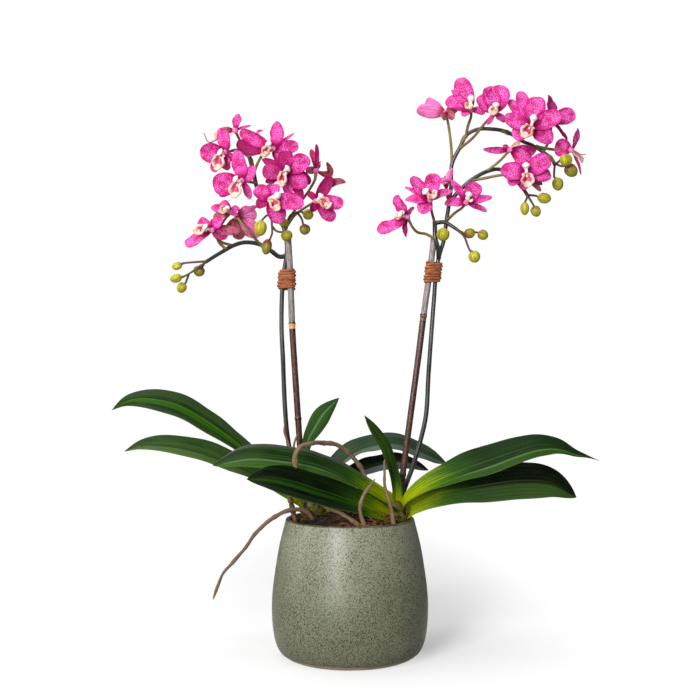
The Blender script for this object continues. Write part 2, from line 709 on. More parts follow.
class Surface:
    """Collects the faces of one piece, in millimetres.

    lay tells the materials where a point lies on its own part: across, along, and 1 on a back.
    tone holds the share across, the share along, and a number of the part's own.
    """

    def __init__(self):
        self.count = 0
        self.points, self.lay, self.tone = [], [], []
        self.corners, self.sizes, self.finishes = [], [], []
        self.creases = []

    def vertices(self, points, lay, tone):
        """Adds a grid of points, and gives back the grid of their numbers."""
        shape = points.shape
        first = self.count
        self.points.append(points.reshape(-1, 3))
        self.lay.append(np.broadcast_to(lay, shape).reshape(-1, 3))
        self.tone.append(np.broadcast_to(tone, shape).reshape(-1, 3).copy())
        self.count += int(np.prod(shape[:-1]))
        return np.arange(first, self.count).reshape(shape[:-1])

    def faces(self, corners, finish):
        corners = corners.reshape(-1, corners.shape[-1])
        self.corners.append(corners.ravel())
        self.sizes.append(np.full(len(corners), corners.shape[1]))
        self.finishes.append(np.full(len(corners), finish))

    def grid(self, numbers, finish, closed=False):
        """Quads over rows of vertex numbers. They face along (across) x (along)."""
        if closed:
            numbers = np.concatenate([numbers, numbers[:, :1]], axis=1)
        quads = [numbers[:-1, :-1], numbers[:-1, 1:], numbers[1:, 1:], numbers[1:, :-1]]
        self.faces(np.stack(quads, axis=-1), finish)

    def cap(self, ring, point, lay, tone, finish, first):
        """Closes a tube at its first or its last ring."""
        tip = self.vertices(point[None], lay, tone)[0]
        after = np.roll(ring, -1)
        pair = [after, ring] if first else [ring, after]
        self.faces(np.stack([*pair, np.full(len(ring), tip)], axis=-1), finish)

    def sheet(self, middle, normal, thickness, across, along, tone, finish):
        """A closed thin sheet about a grid of middle points, with creased borders.

        across and along are places on the part in millimetres, and tone is three values. All of
        them fit the grid by broadcasting.
        """
        half = normal * np.asarray(thickness)[..., None] / 2
        lay = stacked(across, along, 0.0)
        tone = stacked(*tone)
        upper = self.vertices(middle + half, lay, tone)
        lower = self.vertices(middle - half, lay + [0, 0, 1], tone)
        self.grid(upper, finish)
        self.grid(lower[:, ::-1], finish)
        top, low = border(upper), border(lower)
        top_next, low_next = np.roll(top, -1), np.roll(low, -1)
        self.faces(np.stack([top_next, top, low, low_next], axis=-1), finish)
        self.creases += [np.stack([top, top_next], axis=-1), np.stack([low, low_next], axis=-1)]

    def tube(self, points, radii, sides, own, finish=0, start=(1, 0.3, 0.2)):
        """A closed rod along a route. radii is one number a point, or one a point and side."""
        across, other = steady_frames(points, start)
        radii = np.asarray(radii, float)
        if radii.ndim == 1:
            radii = radii[:, None]
        angles = angles_round(sides)
        cosine, sine = np.cos(angles), np.sin(angles)
        ring = across[:, None] * cosine[:, None] + other[:, None] * sine[:, None]
        run = lengths_along(points)
        share = run / run[-1]
        lay = stacked(cosine, sine, run[:, None])
        tone = stacked(np.linspace(-1, 1, sides), share[:, None], own)
        numbers = self.vertices(points[:, None] + ring * radii[..., None], lay, tone)
        self.grid(numbers, finish, closed=True)
        for end in (0, -1):
            self.cap(numbers[end], points[end], (0, 0, run[end]), (0, share[end], own), finish, end == 0)

    def build(self, name, finishes, nodes):
        """Makes the piece, which rides on the object's one body and stands for the CAD nodes."""
        mesh = self.mesh(name)
        for finish in finishes:
            mesh.materials.append(finish)
        piece = in_scene(name, mesh)
        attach(piece, "root")
        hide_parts(*nodes)

    def mesh(self, name):
        """The mesh in metres. Nothing stands proud of the CAD model's box."""
        mesh = bpy.data.meshes.new(name)
        corners, sizes = np.concatenate(self.corners), np.concatenate(self.sizes)
        points = np.clip(np.concatenate(self.points) * MM, cad_low, cad_high)
        mesh.vertices.add(len(points))
        mesh.vertices.foreach_set("co", points.astype(np.float32).ravel())
        mesh.loops.add(len(corners))
        mesh.loops.foreach_set("vertex_index", corners.astype(np.int32))
        mesh.polygons.add(len(sizes))
        starts = np.concatenate([[0], np.cumsum(sizes)[:-1]])
        mesh.polygons.foreach_set("loop_start", starts.astype(np.int32))
        mesh.polygons.foreach_set("material_index", np.concatenate(self.finishes).astype(np.int32))
        mesh.polygons.foreach_set("use_smooth", np.ones(len(sizes), bool))
        mesh.update(calc_edges=True)
        for field, values in (("lay", self.lay), ("tone", self.tone)):
            layer = mesh.attributes.new(field, "FLOAT_VECTOR", "POINT")
            layer.data.foreach_set("vector", np.concatenate(values).astype(np.float32).ravel())
        if self.creases:
            self.mark_creases(mesh)
        mesh.validate()
        return mesh

    def mark_creases(self, mesh):
        pairs = np.sort(np.concatenate([c.reshape(-1, 2) for c in self.creases]), axis=1)
        wanted = pairs[:, 0] * self.count + pairs[:, 1]
        edges = np.zeros(len(mesh.edges) * 2, np.int32)
        mesh.edges.foreach_get("vertices", edges)
        edges = np.sort(edges.reshape(-1, 2).astype(np.int64), axis=1)
        found = np.isin(edges[:, 0] * self.count + edges[:, 1], wanted)
        mesh.attributes.new("sharp_edge", "BOOLEAN", "EDGE").data.foreach_set("value", found)


# Finishes

class Finish:
    """A procedural material. Most methods add nodes and give back an output."""

    def __init__(self, name, roughness, inputs=None):
        self.material = bpy.data.materials.new(name)
        self.material.use_nodes = True
        self.tree = self.material.node_tree
        self.shader = self.tree.nodes["Principled BSDF"]
        self.shader.inputs["Roughness"].default_value = roughness
        for key, value in (inputs or {}).items():
            self.shader.inputs[key].default_value = value
        self.lay = self.add("Attribute", attribute_name="lay").outputs["Vector"]
        self.across, self.along, self.back = self.split(self.lay)
        tone = self.add("Attribute", attribute_name="tone").outputs["Vector"]
        self.side, self.share, self.own = self.split(tone)
        self.place = self.add("TexCoord").outputs["Object"]

    def put(self, socket, value):
        if isinstance(value, bpy.types.NodeSocket):
            self.tree.links.new(value, socket)
        elif isinstance(value, tuple) and len(value) == 3 and len(socket.default_value) == 4:
            socket.default_value = (*value, 1)
        else:
            socket.default_value = value

    def add(self, kind, inputs=None, **settings):
        node = self.tree.nodes.new("ShaderNode" + kind)
        for key, value in settings.items():
            setattr(node, key, value)
        for key, value in (inputs or {}).items():
            self.put(node.inputs[key], value)
        return node

    def split(self, vector):
        return self.add("SeparateXYZ", {0: vector}).outputs[:]

    def join(self, x, y, z):
        return self.add("CombineXYZ", {0: x, 1: y, 2: z}).outputs[0]

    def math(self, operation, *values, clamp=False):
        node = self.add("Math", dict(enumerate(values)), operation=operation, use_clamp=clamp)
        return node.outputs[0]

    def times(self, a, b, clamp=False):
        return self.math("MULTIPLY", a, b, clamp=clamp)

    def plus(self, a, b, clamp=False):
        return self.math("ADD", a, b, clamp=clamp)

    def scaled(self, vector, scale):
        return self.add("VectorMath", {0: vector, 1: scale}, operation="MULTIPLY").outputs[0]

    def noise(self, vector, scale, detail=2.0, roughness=0.5):
        inputs = {"Vector": vector, "Scale": scale, "Detail": detail, "Roughness": roughness}
        return self.add("TexNoise", inputs).outputs["Fac"]

    def wander(self, vector, scale, reach):
        """A place shifted a little by noise, which makes round marks ragged."""
        shift = self.add("TexNoise", {"Vector": vector, "Scale": scale, "Detail": 2}).outputs["Color"]
        shift = self.scaled(shift, (reach, reach, reach))
        return self.add("VectorMath", {0: vector, 1: shift}, operation="ADD").outputs[0]

    def cells(self, vector, scale, feature="F1", output="Distance", scatter=1.0, space="3D"):
        inputs = {"Vector": vector, "Scale": scale, "Randomness": scatter}
        node = self.add("TexVoronoi", inputs, feature=feature, voronoi_dimensions=space)
        return node.outputs[output]

    def spread(self, value, low, high, to_low=0.0, to_high=1.0):
        """Eases a value's range to another."""
        inputs = {0: value, 1: low, 2: high, 3: to_low, 4: to_high}
        return self.add("MapRange", inputs, interpolation_type="SMOOTHSTEP").outputs[0]

    def patches(self, scale, detail, *limits):
        """Where noise over the whole object lies between the limits."""
        return self.spread(self.noise(self.place, scale, detail), *limits)

    def blend(self, share, a, b):
        node = self.add("Mix", data_type="RGBA")
        colours = [socket for socket in node.inputs if socket.type == "RGBA"]
        for socket, value in zip((node.inputs["Factor"], *colours), (share, a, b)):
            self.put(socket, value)
        return next(socket for socket in node.outputs if socket.type == "RGBA")

    def paint(self, share, colour):
        """Lays a colour over the body, as strongly as the share."""
        self.body = self.blend(share, self.body, colour)

    def gloss(self, value):
        self.put(self.shader.inputs["Roughness"], value)

    def bump(self, height, depth):
        """Relief whose full height is depth millimetres. Calls add up."""
        normal = self.shader.inputs["Normal"]
        inputs = {"Height": height, "Distance": depth * MM, "Strength": 1.0}
        if normal.links:
            inputs["Normal"] = normal.links[0].from_socket
        self.tree.links.new(self.add("Bump", inputs).outputs[0], normal)

    def finished(self):
        """The material, in the colours of the body."""
        self.put(self.shader.inputs["Base Color"], self.body)
        return self.material


def streaked(name, roughness, stretch, scale, detail, limits, colours, shine=0.5, grain=0.5):
    """A finish in two colours that run along its part, and its streaks."""
    f = Finish(name, roughness, {"Specular IOR Level": shine})
    streak = f.noise(f.scaled(f.lay, stretch), scale, detail, grain)
    f.body = f.blend(f.spread(streak, *limits) if limits else streak, *colours)
    return f, streak


def srgb(red, green, blue):
    """A colour in 0-255 sRGB as linear numbers."""
    def linear(value):
        value /= 255
        return value / 12.92 if value <= 0.04045 else ((value + 0.055) / 1.055) ** 2.4

    return tuple(linear(v) for v in (red, green, blue))


# Glaze specks as (cells a metre, reach in a cell, gate, darkness).
SPECKS = (
    (1150, 0.54, 0.37, 0.72),
    (820, 0.50, 0.47, 0.95),
    (430, 0.34, 0.80, 0.9),
)
SPECK_COLOUR = srgb(38, 36, 28)

# Heights in metres between which the glaze changes.
GLAZE_LOW = (0.075, 0.0)
GLAZE_HIGH = (0.045, 0.11)
GLAZE_RIM = (0.1126, 0.1138)
GLAZE_FOOT = (0.0056, 0.0042)


def glaze_finish():
    """Sage glaze with cloudy tones and dark specks, brown at the rim and bare at the foot."""
    f = Finish("sage_glaze", 0.4, {"Specular IOR Level": 0.45})
    height = f.split(f.place)[2]
    cloud = f.noise(f.place, 28, 4, 0.6)
    low = f.spread(height, *GLAZE_LOW)
    f.body = f.blend(cloud, srgb(106, 110, 87), srgb(131, 133, 108))
    f.paint(f.spread(height, *GLAZE_HIGH, 0.0, 0.5), srgb(156, 157, 134))
    f.paint(f.times(low, 0.3), srgb(102, 100, 78))
    density = f.plus(f.noise(f.place, 36, 3, 0.6), f.times(low, 0.26))
    ragged = f.wander(f.place, 420, 0.0022)
    for scale, reach, gate, dark in SPECKS:
        chance = f.split(f.cells(ragged, scale, output="Color"))[0]
        dot = f.spread(f.cells(ragged, scale), reach, reach * 0.45)
        picked = f.plus(f.times(chance, 0.6), f.times(density, 0.7))
        speck = f.times(dot, f.spread(picked, gate, gate + 0.16))
        f.paint(f.times(speck, dark), SPECK_COLOUR)
    rim = f.times(f.spread(height, *GLAZE_RIM), f.noise(f.place, 90, 2))
    f.paint(f.times(rim, 1.7, clamp=True), srgb(58, 38, 22))
    foot = f.spread(f.plus(height, f.times(f.noise(f.place, 45), 0.0022)), *GLAZE_FOOT)
    f.paint(foot, f.blend(f.noise(f.place, 70), srgb(150, 118, 88), srgb(206, 190, 160)))
    f.gloss(f.plus(f.times(foot, 0.4), f.spread(cloud, 0.3, 0.7, 0.38, 0.47)))
    f.bump(f.noise(f.place, 420, 3, 0.6), 0.12)
    f.bump(cloud, 0.5)
    return f.finished()


def coir_finish():
    """Brown fibres, each in a tone of its own, and nearly black at the left."""
    f = Finish("coir_fibre", 0.8)
    f.body = f.blend(f.own, srgb(28, 14, 6), srgb(192, 120, 66))
    f.paint(f.times(f.noise(f.place, 400, 3), 0.7), srgb(50, 25, 13))
    f.paint(f.spread(f.split(f.place)[0], -0.03, 0.012, 0.85, 0.0), srgb(16, 13, 5))
    f.bump(f.noise(f.place, 900, 3), 0.3)
    return f.finished()


def peat_finish():
    f = Finish("coir_bed", 0.95)
    rough = f.noise(f.place, 260, 6, 0.7)
    f.body = f.blend(rough, srgb(8, 5, 3), srgb(44, 24, 13))
    f.bump(rough, 1.2)
    return f.finished()


def moss_finish():
    f = Finish("moss", 0.85)
    f.body = f.blend(f.own, srgb(40, 44, 10), srgb(186, 160, 40))
    f.paint(f.noise(f.place, 300, 2), srgb(40, 36, 10))
    f.bump(f.noise(f.place, 800, 2), 0.2)
    return f.finished()


LEAF_SHINE = 0.06
LEAF_YELLOW = srgb(150, 166, 3)
LEAF_VIVID = srgb(46, 92, 8)
LEAF_BACK = srgb(50, 78, 34)
LEAF_RIB = srgb(98, 138, 48)
LEAF_NIGHT = srgb(8, 16, 5)
LEAF_BLOTCH = srgb(168, 92, 14)
LEAF_BORDER = srgb(120, 132, 60)
BAND_SOFTNESS = 0.07
YELLOW_END = 1.45

# Looks of a leaf: the dark and the mid green, how far the yellow of its base reaches, how strongly
# streaks of mid green show, how deep the grooves look, and bands along the blade. A band is the
# share across where it starts and where it ends, its colour and its strength.
LEAF_LOOKS = {
    "crown_left": (srgb(34, 66, 26), srgb(52, 92, 32), 0.3, 0.3, 0.2, [
        (-0.12, 0.12, srgb(110, 142, 96), 0.6),
    ]),
    "crown_right": (srgb(26, 40, 10), srgb(44, 78, 14), 0.24, 0.5, 0.5, []),
    "leaf_left_long": (srgb(18, 34, 10), srgb(36, 70, 8), 0.22, 0.8, 0.4, [
        (-0.5, 0.0, srgb(44, 92, 8), 0.7),
        (-0.1, -0.02, srgb(76, 124, 16), 0.5),
        (-1.2, -0.75, srgb(42, 58, 36), 0.6),
        (0.3, 1.2, srgb(48, 68, 36), 0.7),
    ]),
    "leaf_left_low": (srgb(33, 57, 22), srgb(55, 83, 32), 0.34, 0.7, 0.6, [
        (-1.2, -0.5, srgb(88, 116, 60), 0.5),
    ]),
    "leaf_back_arch": (srgb(44, 62, 46), srgb(66, 90, 60), 0.1, 0.7, 0.7, [
        (0.45, 1.2, srgb(112, 130, 116), 0.6),
        (-0.1, 0.12, srgb(26, 44, 28), 0.7),
    ]),
    "leaf_back_low": (srgb(5, 7, 5), srgb(20, 28, 22), 0.08, 0.7, 0.7, [
        (0.3, 1.2, srgb(92, 104, 100), 0.7),
    ]),
    "leaf_front_upper": (srgb(20, 38, 14), srgb(44, 78, 24), 0.3, 0.6, 0.9, [
        (-1.2, -0.38, srgb(58, 96, 30), 0.75),
        (-0.44, -0.34, srgb(126, 146, 116), 0.6),
        (0.72, 1.2, srgb(88, 88, 90), 0.6),
    ]),
    "leaf_front_lower": (srgb(2, 6, 2), srgb(15, 37, 5), 0.34, 0.8, 0.5, [
        (-0.42, -0.16, srgb(36, 84, 4), 0.55),
        (-1.2, -0.66, srgb(26, 42, 28), 0.5),
    ]),
    "leaf_right_upper": (srgb(18, 38, 14), srgb(30, 56, 16), 0.34, 0.5, 0.6, [
        (0.56, 1.2, srgb(50, 88, 24), 0.6),
        (0.5, 0.58, srgb(118, 150, 92), 0.6),
    ]),
    "leaf_right_lower": (srgb(4, 11, 2), srgb(18, 38, 5), 0.33, 0.7, 0.9, [
        (0.14, 1.2, srgb(54, 82, 36), 0.85),
    ]),
}


def leaf_green(f, look, strands, streak, patch):
    """The green of a blade, with its streaks and its bands."""
    dark, mid, _, streaking, _, bands = LEAF_LOOKS[look]
    green = f.blend(f.spread(patch, 0.3, 0.75, 0.0, 0.4), dark, mid)
    green = f.blend(f.times(f.spread(streak, 0.46, 0.62), streaking), green, mid)
    for start, end, colour, strength in bands:
        inside = f.spread(f.side, start - BAND_SOFTNESS, start + BAND_SOFTNESS)
        inside = f.times(inside, f.spread(f.side, end + BAND_SOFTNESS, end - BAND_SOFTNESS))
        inside = f.times(inside, f.spread(strands, 0.2, 0.5, 0.55, 1.0))
        green = f.blend(f.times(inside, strength), green, colour)
    return green


def leaf_finish(look):
    """Greens that run along the blade in streaks, over a yellow-green base."""
    mid, yellow_reach, _, grooving, _ = LEAF_LOOKS[look][1:]
    f = Finish("skin_of_" + look, 0.45, {"Specular IOR Level": LEAF_SHINE})

    def along_noise(across, along, detail=3):
        """Noise drawn out along the blade, in cells a millimetre."""
        return f.noise(f.join(f.times(f.across, across), f.times(f.along, along), f.own), 1, detail)

    strands, streak = along_noise(1.6, 0.035), along_noise(0.42, 0.012)
    patch = along_noise(0.08, 0.05)
    edge = f.math("ABSOLUTE", f.side)
    ragged = f.times(f.math("SUBTRACT", strands, 0.5), 0.3)
    reach = f.plus(f.plus(f.share, ragged), f.times(edge, 0.06))
    f.body = f.blend(f.spread(reach, yellow_reach * 0.2, yellow_reach), LEAF_YELLOW, LEAF_VIVID)
    green = leaf_green(f, look, strands, streak, patch)
    f.paint(f.spread(reach, yellow_reach * 0.6, yellow_reach * YELLOW_END), green)
    ridge = f.math("ABSOLUTE", f.math("SINE", f.times(f.side, GROOVES * math.pi)))
    groove = f.times(f.spread(ridge, 0.4, 0.0), grooving)
    f.paint(groove, f.blend(0.6, f.body, LEAF_NIGHT))
    f.paint(f.times(f.spread(strands, 0.35, 0.75), 0.2), mid)
    f.paint(f.times(f.spread(edge, 0.05, 0.01), f.spread(f.share, 1.0, 0.3, 0.05, 0.25)), LEAF_RIB)
    blotch = f.times(f.spread(patch, 0.52, 0.66), f.spread(reach, 0.13, 0.03))
    f.paint(f.times(blotch, 0.8), LEAF_BLOTCH)
    f.paint(f.times(f.spread(edge, 0.965, 0.995), 0.35), LEAF_BORDER)
    under = f.blend(f.spread(strands, 0.35, 0.7), LEAF_BACK, f.blend(0.5, LEAF_BACK, mid))
    f.paint(f.times(f.back, 0.75), under)
    f.gloss(f.spread(patch, 0.3, 0.7, 0.38, 0.5))
    f.bump(ridge, 0.16)
    f.bump(strands, 0.22)
    f.bump(along_noise(5, 0.2, 2), 0.05)
    return f.finished()


def crown_finish():
    greens = (srgb(122, 128, 16), srgb(62, 72, 12))
    f, streak = streaked("crown_sheath", 0.5, (3, 3, 0.1), 1.2, 3, (0.3, 0.7), greens)
    f.paint(f.patches(180, 3, 0.45, 0.62), srgb(104, 56, 16))
    f.paint(f.patches(260, 3, 0.56, 0.66), srgb(30, 20, 8))
    f.bump(streak, 0.4)
    return f.finished()


def root_finish():
    """own is how dark the root is."""
    browns = (srgb(74, 58, 40), srgb(166, 136, 100))
    f, streak = streaked("root_skin", 0.78, (2.2, 2.2, 0.09), 1.4, 4, (0.25, 0.75), browns, grain=0.6)
    f.paint(f.patches(90, 3, 0.45, 0.7, 0.0, 0.6), srgb(124, 92, 66))
    f.paint(f.times(f.own, 0.6), srgb(66, 50, 38))
    f.bump(streak, 0.5)
    f.bump(f.noise(f.place, 700, 3), 0.15)
    return f.finished()


def stake_finish():
    """Brown cane below its upper joint and grey-purple above, with a pale cut at the joint.

    own is 0 below the joint, 1 above it, and up to 2 in the cut, where 2 is the palest. A dark ring
    lies beside each change.
    """
    browns = (srgb(16, 7, 6), srgb(84, 40, 28))
    f, streak = streaked("cane", 0.32, (3.0, 3.0, 0.05), 1.5, 4, (0.34, 0.66), browns, grain=0.65)
    fleck = f.noise(f.scaled(f.lay, (3.4, 3.4, 0.22)), 1.2, 3, 0.6)
    f.paint(f.spread(fleck, 0.56, 0.7), srgb(150, 84, 36))
    upper = f.blend(f.spread(streak, 0.32, 0.62), srgb(38, 30, 32), srgb(168, 154, 154))
    f.paint(f.spread(f.own, 0.2, 0.8), upper)
    cut = f.blend(f.spread(f.own, 1.5, 2.0), srgb(104, 56, 30), srgb(232, 158, 88))
    f.paint(f.spread(f.own, 1.2, 1.5), cut)
    f.paint(f.spread(f.share, 0.3, 0.9), srgb(20, 12, 10))
    f.gloss(f.spread(streak, 0.3, 0.7, 0.26, 0.42))
    f.bump(streak, 0.25)
    return f.finished()


def raffia_finish():
    tans = (srgb(78, 28, 12), srgb(220, 132, 78))
    f, streak = streaked("raffia", 0.5, (4.5, 4.5, 0.06), 1.3, 3, (0.32, 0.68), tans, grain=0.6)
    f.paint(f.patches(320, 3, 0.5, 0.7, 0.0, 0.6), srgb(112, 44, 20))
    f.bump(streak, 0.45)
    return f.finished()


def stem_finish():
    greys = (srgb(10, 11, 9), srgb(64, 68, 60))
    f, streak = streaked("stem_skin", 0.3, (0.9, 0.9, 0.02), 1.0, 3, (0.35, 0.65), greys, shine=0.65)
    f.gloss(f.spread(streak, 0.3, 0.7, 0.26, 0.38))
    f.bump(streak, 0.1)
    return f.finished()


def pedicel_finish():
    """own is how brown the pedicel is."""
    straws = (srgb(92, 72, 26), srgb(172, 146, 76))
    f, streak = streaked("pedicel_skin", 0.5, (2.4, 2.4, 0.12), 1.3, 3, (0.3, 0.7), straws)
    f.paint(f.spread(f.own, 0.6, 1.0, 0.0, 0.7), srgb(104, 66, 40))
    f.bump(streak, 0.2)
    return f.finished()


def stalk_finish():
    """Dark red, or olive where own is high."""
    reds = (srgb(72, 26, 32), srgb(110, 54, 44))
    f, streak = streaked("bud_stalk", 0.5, (2.4, 2.4, 0.12), 1.3, 3, None, reds)
    f.paint(f.spread(f.own, 0.45, 0.7), srgb(86, 84, 34))
    f.bump(streak, 0.2)
    return f.finished()


def bud_finish():
    """Yellow-green with three dark seams. own is the ripeness: olive, with a red-brown blush."""
    yellows = (srgb(150, 146, 10), srgb(200, 188, 44))
    f, streak = streaked("bud_skin", 0.4, (2.6, 2.6, 0.12), 1.3, 2, (0.3, 0.7), yellows)
    f.paint(f.spread(f.own, 0.4, 1.0, 0.0, 0.8), srgb(118, 110, 22))
    cube = f.times(f.times(f.across, f.across), f.across)
    seam = f.math("SUBTRACT", f.times(cube, 4.0), f.times(f.across, 3.0))
    f.paint(f.spread(seam, 0.78, 0.99, 0.0, 0.45), srgb(84, 86, 12))
    blush = f.times(f.spread(f.share, 0.62, 0.1), f.spread(f.own, 0.35, 0.9))
    blush = f.plus(blush, f.patches(220, 3, 0.6, 0.8, 0.0, 0.3), clamp=True)
    f.paint(blush, srgb(120, 54, 32))
    f.paint(f.spread(f.share, 0.9, 1.0, 0.0, 0.6), srgb(86, 70, 20))
    f.bump(streak, 0.4)
    return f.finished()


# The colours of a petal: deep, bright, pale fleck, shade, line between flecks, and the back's three.
PETAL_MAGENTA = (
    srgb(190, 0, 112), srgb(224, 24, 160), srgb(252, 176, 230), srgb(120, 0, 52), srgb(160, 0, 92),
    srgb(252, 150, 206), srgb(232, 84, 166), srgb(170, 50, 80),
)
PETAL_DUSTY = (
    srgb(140, 44, 66), srgb(178, 86, 112), srgb(216, 150, 158), srgb(104, 34, 34), srgb(120, 40, 56),
    srgb(196, 112, 126), srgb(150, 72, 74), srgb(122, 62, 46),
)
PETAL_LOOKS = {
    "Specular IOR Level": 0.1,
    "Subsurface Weight": 0.3,
    "Subsurface Radius": (1.0, 0.35, 0.7),
    "Subsurface Scale": 1.5 * MM,
}
FLECK_SCALE = 1.3
LACE_SCALE = 1.0


def petal_lace(f, own):
    """A net of lines drawn out along the petal with flecks in its meshes, and the flecks alone."""
    rows = f.plus(f.times(f.across, 0.36), f.times(f.side, 2.8))
    net = f.wander(f.join(rows, f.plus(f.times(f.along, 0.42), own), 0.0), 0.7, 0.7)
    flat = {"scatter": 0.9, "space": "2D"}
    near = f.cells(net, FLECK_SCALE, **flat)
    chance = f.split(f.cells(net, FLECK_SCALE, output="Color", **flat))[0]
    lace = f.spread(f.cells(net, LACE_SCALE, "DISTANCE_TO_EDGE", **flat), 0.17, 0.03)
    fleck = f.times(f.spread(near, 0.5, 0.1), f.spread(chance, 0.3, 0.8))
    return f.plus(f.times(lace, 0.7), f.times(fleck, 0.5), clamp=True), fleck


def petal_finish(name, colours):
    """Pale lace over a deeper ground, dark towards the base, with a paler back."""
    deep, bright, pale, shade, line, back_pale, back_deep, back_base = colours
    f = Finish(name, 0.6, PETAL_LOOKS)
    edge = f.math("ABSOLUTE", f.side)
    own = f.times(f.own, 31)
    pattern, fleck = petal_lace(f, own)
    broad = f.noise(f.join(f.times(f.across, 0.22), f.times(f.along, 0.16), own), 1, 2)
    veins = f.noise(f.join(f.times(f.side, 9), f.times(f.share, 1.2), own), 1, 2)
    zone = f.times(f.spread(edge, 1.1, 0.6), f.spread(f.share, 0.12, 0.45))
    zone = f.times(zone, f.spread(broad, 0.32, 0.6, 0.2, 0.75))
    f.body = f.blend(f.spread(broad, 0.3, 0.7), deep, bright)
    f.paint(f.spread(veins, 0.5, 0.68, 0.0, 0.35), line)
    f.paint(f.times(pattern, zone), pale)
    f.paint(f.spread(f.share, 0.46, 0.05, 0.0, 0.9), shade)
    f.paint(f.spread(edge, 0.9, 0.99, 0.0, 0.3), line)
    f.paint(f.spread(f.own, 0.7, 0.95, 0.0, 0.8), f.blend(0.75, deep, shade))
    under = f.blend(f.spread(veins, 0.4, 0.65), back_pale, back_deep)
    under = f.blend(f.spread(f.share, 0.4, 0.1), under, back_base)
    f.paint(f.times(f.back, 0.85), under)
    f.gloss(f.spread(broad, 0.3, 0.7, 0.52, 0.66))
    f.bump(fleck, 0.06)
    f.bump(veins, 0.3)
    return f.finished()


def column_finish():
    f = Finish("column_white", 0.5)
    mottle = f.noise(f.place, 500, 3)
    f.body = f.blend(mottle, srgb(232, 226, 224), srgb(250, 246, 244))
    f.paint(f.spread(f.share, 0.42, 0.1), srgb(238, 208, 168))
    f.bump(mottle, 0.12)
    return f.finished()


def lip_finish():
    """Magenta in the throat, cream and tan at the rims, and a pale tongue.

    own rises from near 0 in the throat to 1 on a rim, and is above 1 on the tongue.
    """
    f = Finish("lip_skin", 0.5)
    mottle = f.noise(f.place, 350, 3)
    rim = f.blend(f.patches(60, 2, 0.36, 0.58), srgb(206, 154, 112), srgb(250, 222, 200))
    rim = f.blend(f.spread(mottle, 0.46, 0.66, 0.0, 0.6), rim, srgb(222, 144, 140))
    f.body = f.blend(mottle, srgb(184, 16, 96), srgb(222, 70, 140))
    f.paint(f.spread(f.own, 0.35, 0.75), rim)
    tongue = f.blend(mottle, srgb(250, 196, 180), srgb(255, 226, 210))
    f.paint(f.spread(f.own, 1.05, 1.15), tongue)
    stripe = f.spread(f.math("SINE", f.times(f.share, 34)), 0.4, 0.9)
    f.paint(f.times(stripe, f.spread(f.own, 0.9, 0.5, 0, 0.5)), srgb(160, 24, 70))
    f.bump(mottle, 0.15)
    return f.finished()


# Leaves

LEAF_GRID = (84, 57)
CROWN_BLADE_GRID = (48, 29)
TIP_CROWDING = 1.25
TANGENT_STEP = 0.01
FOLD_SOFTNESS = 0.14
GROOVES = 5
GROOVE_DEPTH = 0.13
TIP_SHARE = 0.012
RIPPLE = 0.7
RIPPLE_LENGTHS = (26, 70)
LEAF_MIDDLE_THICKNESS = 1.3
LEAF_EDGE_THICKNESS = 0.5


def leaf_share(t, shape):
    """The share of the greatest width along a blade."""
    base, widest, narrowing, pointing, waisting = shape
    rising = mix(base, 1, np.sin(np.pi / 2 * np.minimum(t / widest, 1)) ** waisting)
    s = np.clip((t - widest) / (1 - widest), 0, 1)
    falling = np.maximum(1 - s**narrowing, 0) ** pointing
    return np.maximum(np.where(t < widest, rising, falling), TIP_SHARE)


def leaf_rise(t, c, half, length, draw):
    """How far a blade stands off its rib: a soft fold, drooping sides, grooves and rippled edges."""
    folded = np.sqrt(c**2 + FOLD_SOFTNESS**2) - FOLD_SOFTNESS
    folded = folded / folded.max()
    lift = half * mix(0.7, 0.34, np.minimum(1, t * 2.2))
    droop = half * 0.3 * np.minimum(1, t * 1.5)
    rise = lift * folded - droop * c**2
    grooves = np.abs(np.sin(np.pi * GROOVES * c)) - 0.5
    rise = rise + GROOVE_DEPTH * grooves * (1 - np.abs(c) ** 6) * eased(0, 0.15, 1 - t)
    left, right = (waves(draw, 3, *RIPPLE_LENGTHS, t * length) for _ in range(2))
    edge = np.where(c < 0, left, right) * np.abs(c) ** 3
    return rise + RIPPLE * edge * eased(0.05, 0.3, t)


def add_leaf(surface, leaf, own, finish=0, grid=LEAF_GRID):
    """A blade across its rib, thin at its edges and its tip."""
    dense = curve_through(leaf.rib)
    length = lengths_along(dense)[-1]
    shares = 1 - (1 - np.linspace(0, 1, grid[0])) ** TIP_CROWDING
    before, after = np.maximum(shares - TANGENT_STEP, 0), np.minimum(shares + TANGENT_STEP, 1)
    along = unit(points_at(dense, after) - points_at(dense, before))
    t, c = shares[:, None], across_row(grid[1])
    side = mix(listed(leaf.side_base), listed(leaf.side_tip), t)
    side = unit(side - along * (side * along).sum(axis=1, keepdims=True))
    normal = np.cross(side, along)
    half = leaf.width / 2 * leaf_share(t, leaf.shape)
    rise = leaf_rise(t, c, half, length, draws(int(own * 1000)))
    side, normal = side[:, None], normal[:, None]
    place = grid_about(points_at(dense, shares), side, half * c, normal, rise)
    thickness = mix(LEAF_MIDDLE_THICKNESS, LEAF_EDGE_THICKNESS, np.abs(c) ** 1.5)
    thickness = thickness * mix(0.35, 1, eased(0, 0.12, 1 - t))
    surface.sheet(place, normal, thickness, half * c, t * length, (c, t, own), finish)


# Blooms

TEPAL_GRID = (26, 17)
TEPAL_FULLNESS = 1.12
TEPAL_CUP = 0.18
TEPAL_BOW = 1.2
TEPAL_START = 0.03
TEPAL_CROWDING = 1.3
TEPAL_MIDDLE_THICKNESS = 0.6
TEPAL_EDGE_THICKNESS = 0.3
NARROW_TEPAL = 8
FULL_TEPAL = 12
KNOB_GRID = (12, 16)
TENDRIL_GRID = (18, 8)
BRIGHTEST_TONES = 0.72

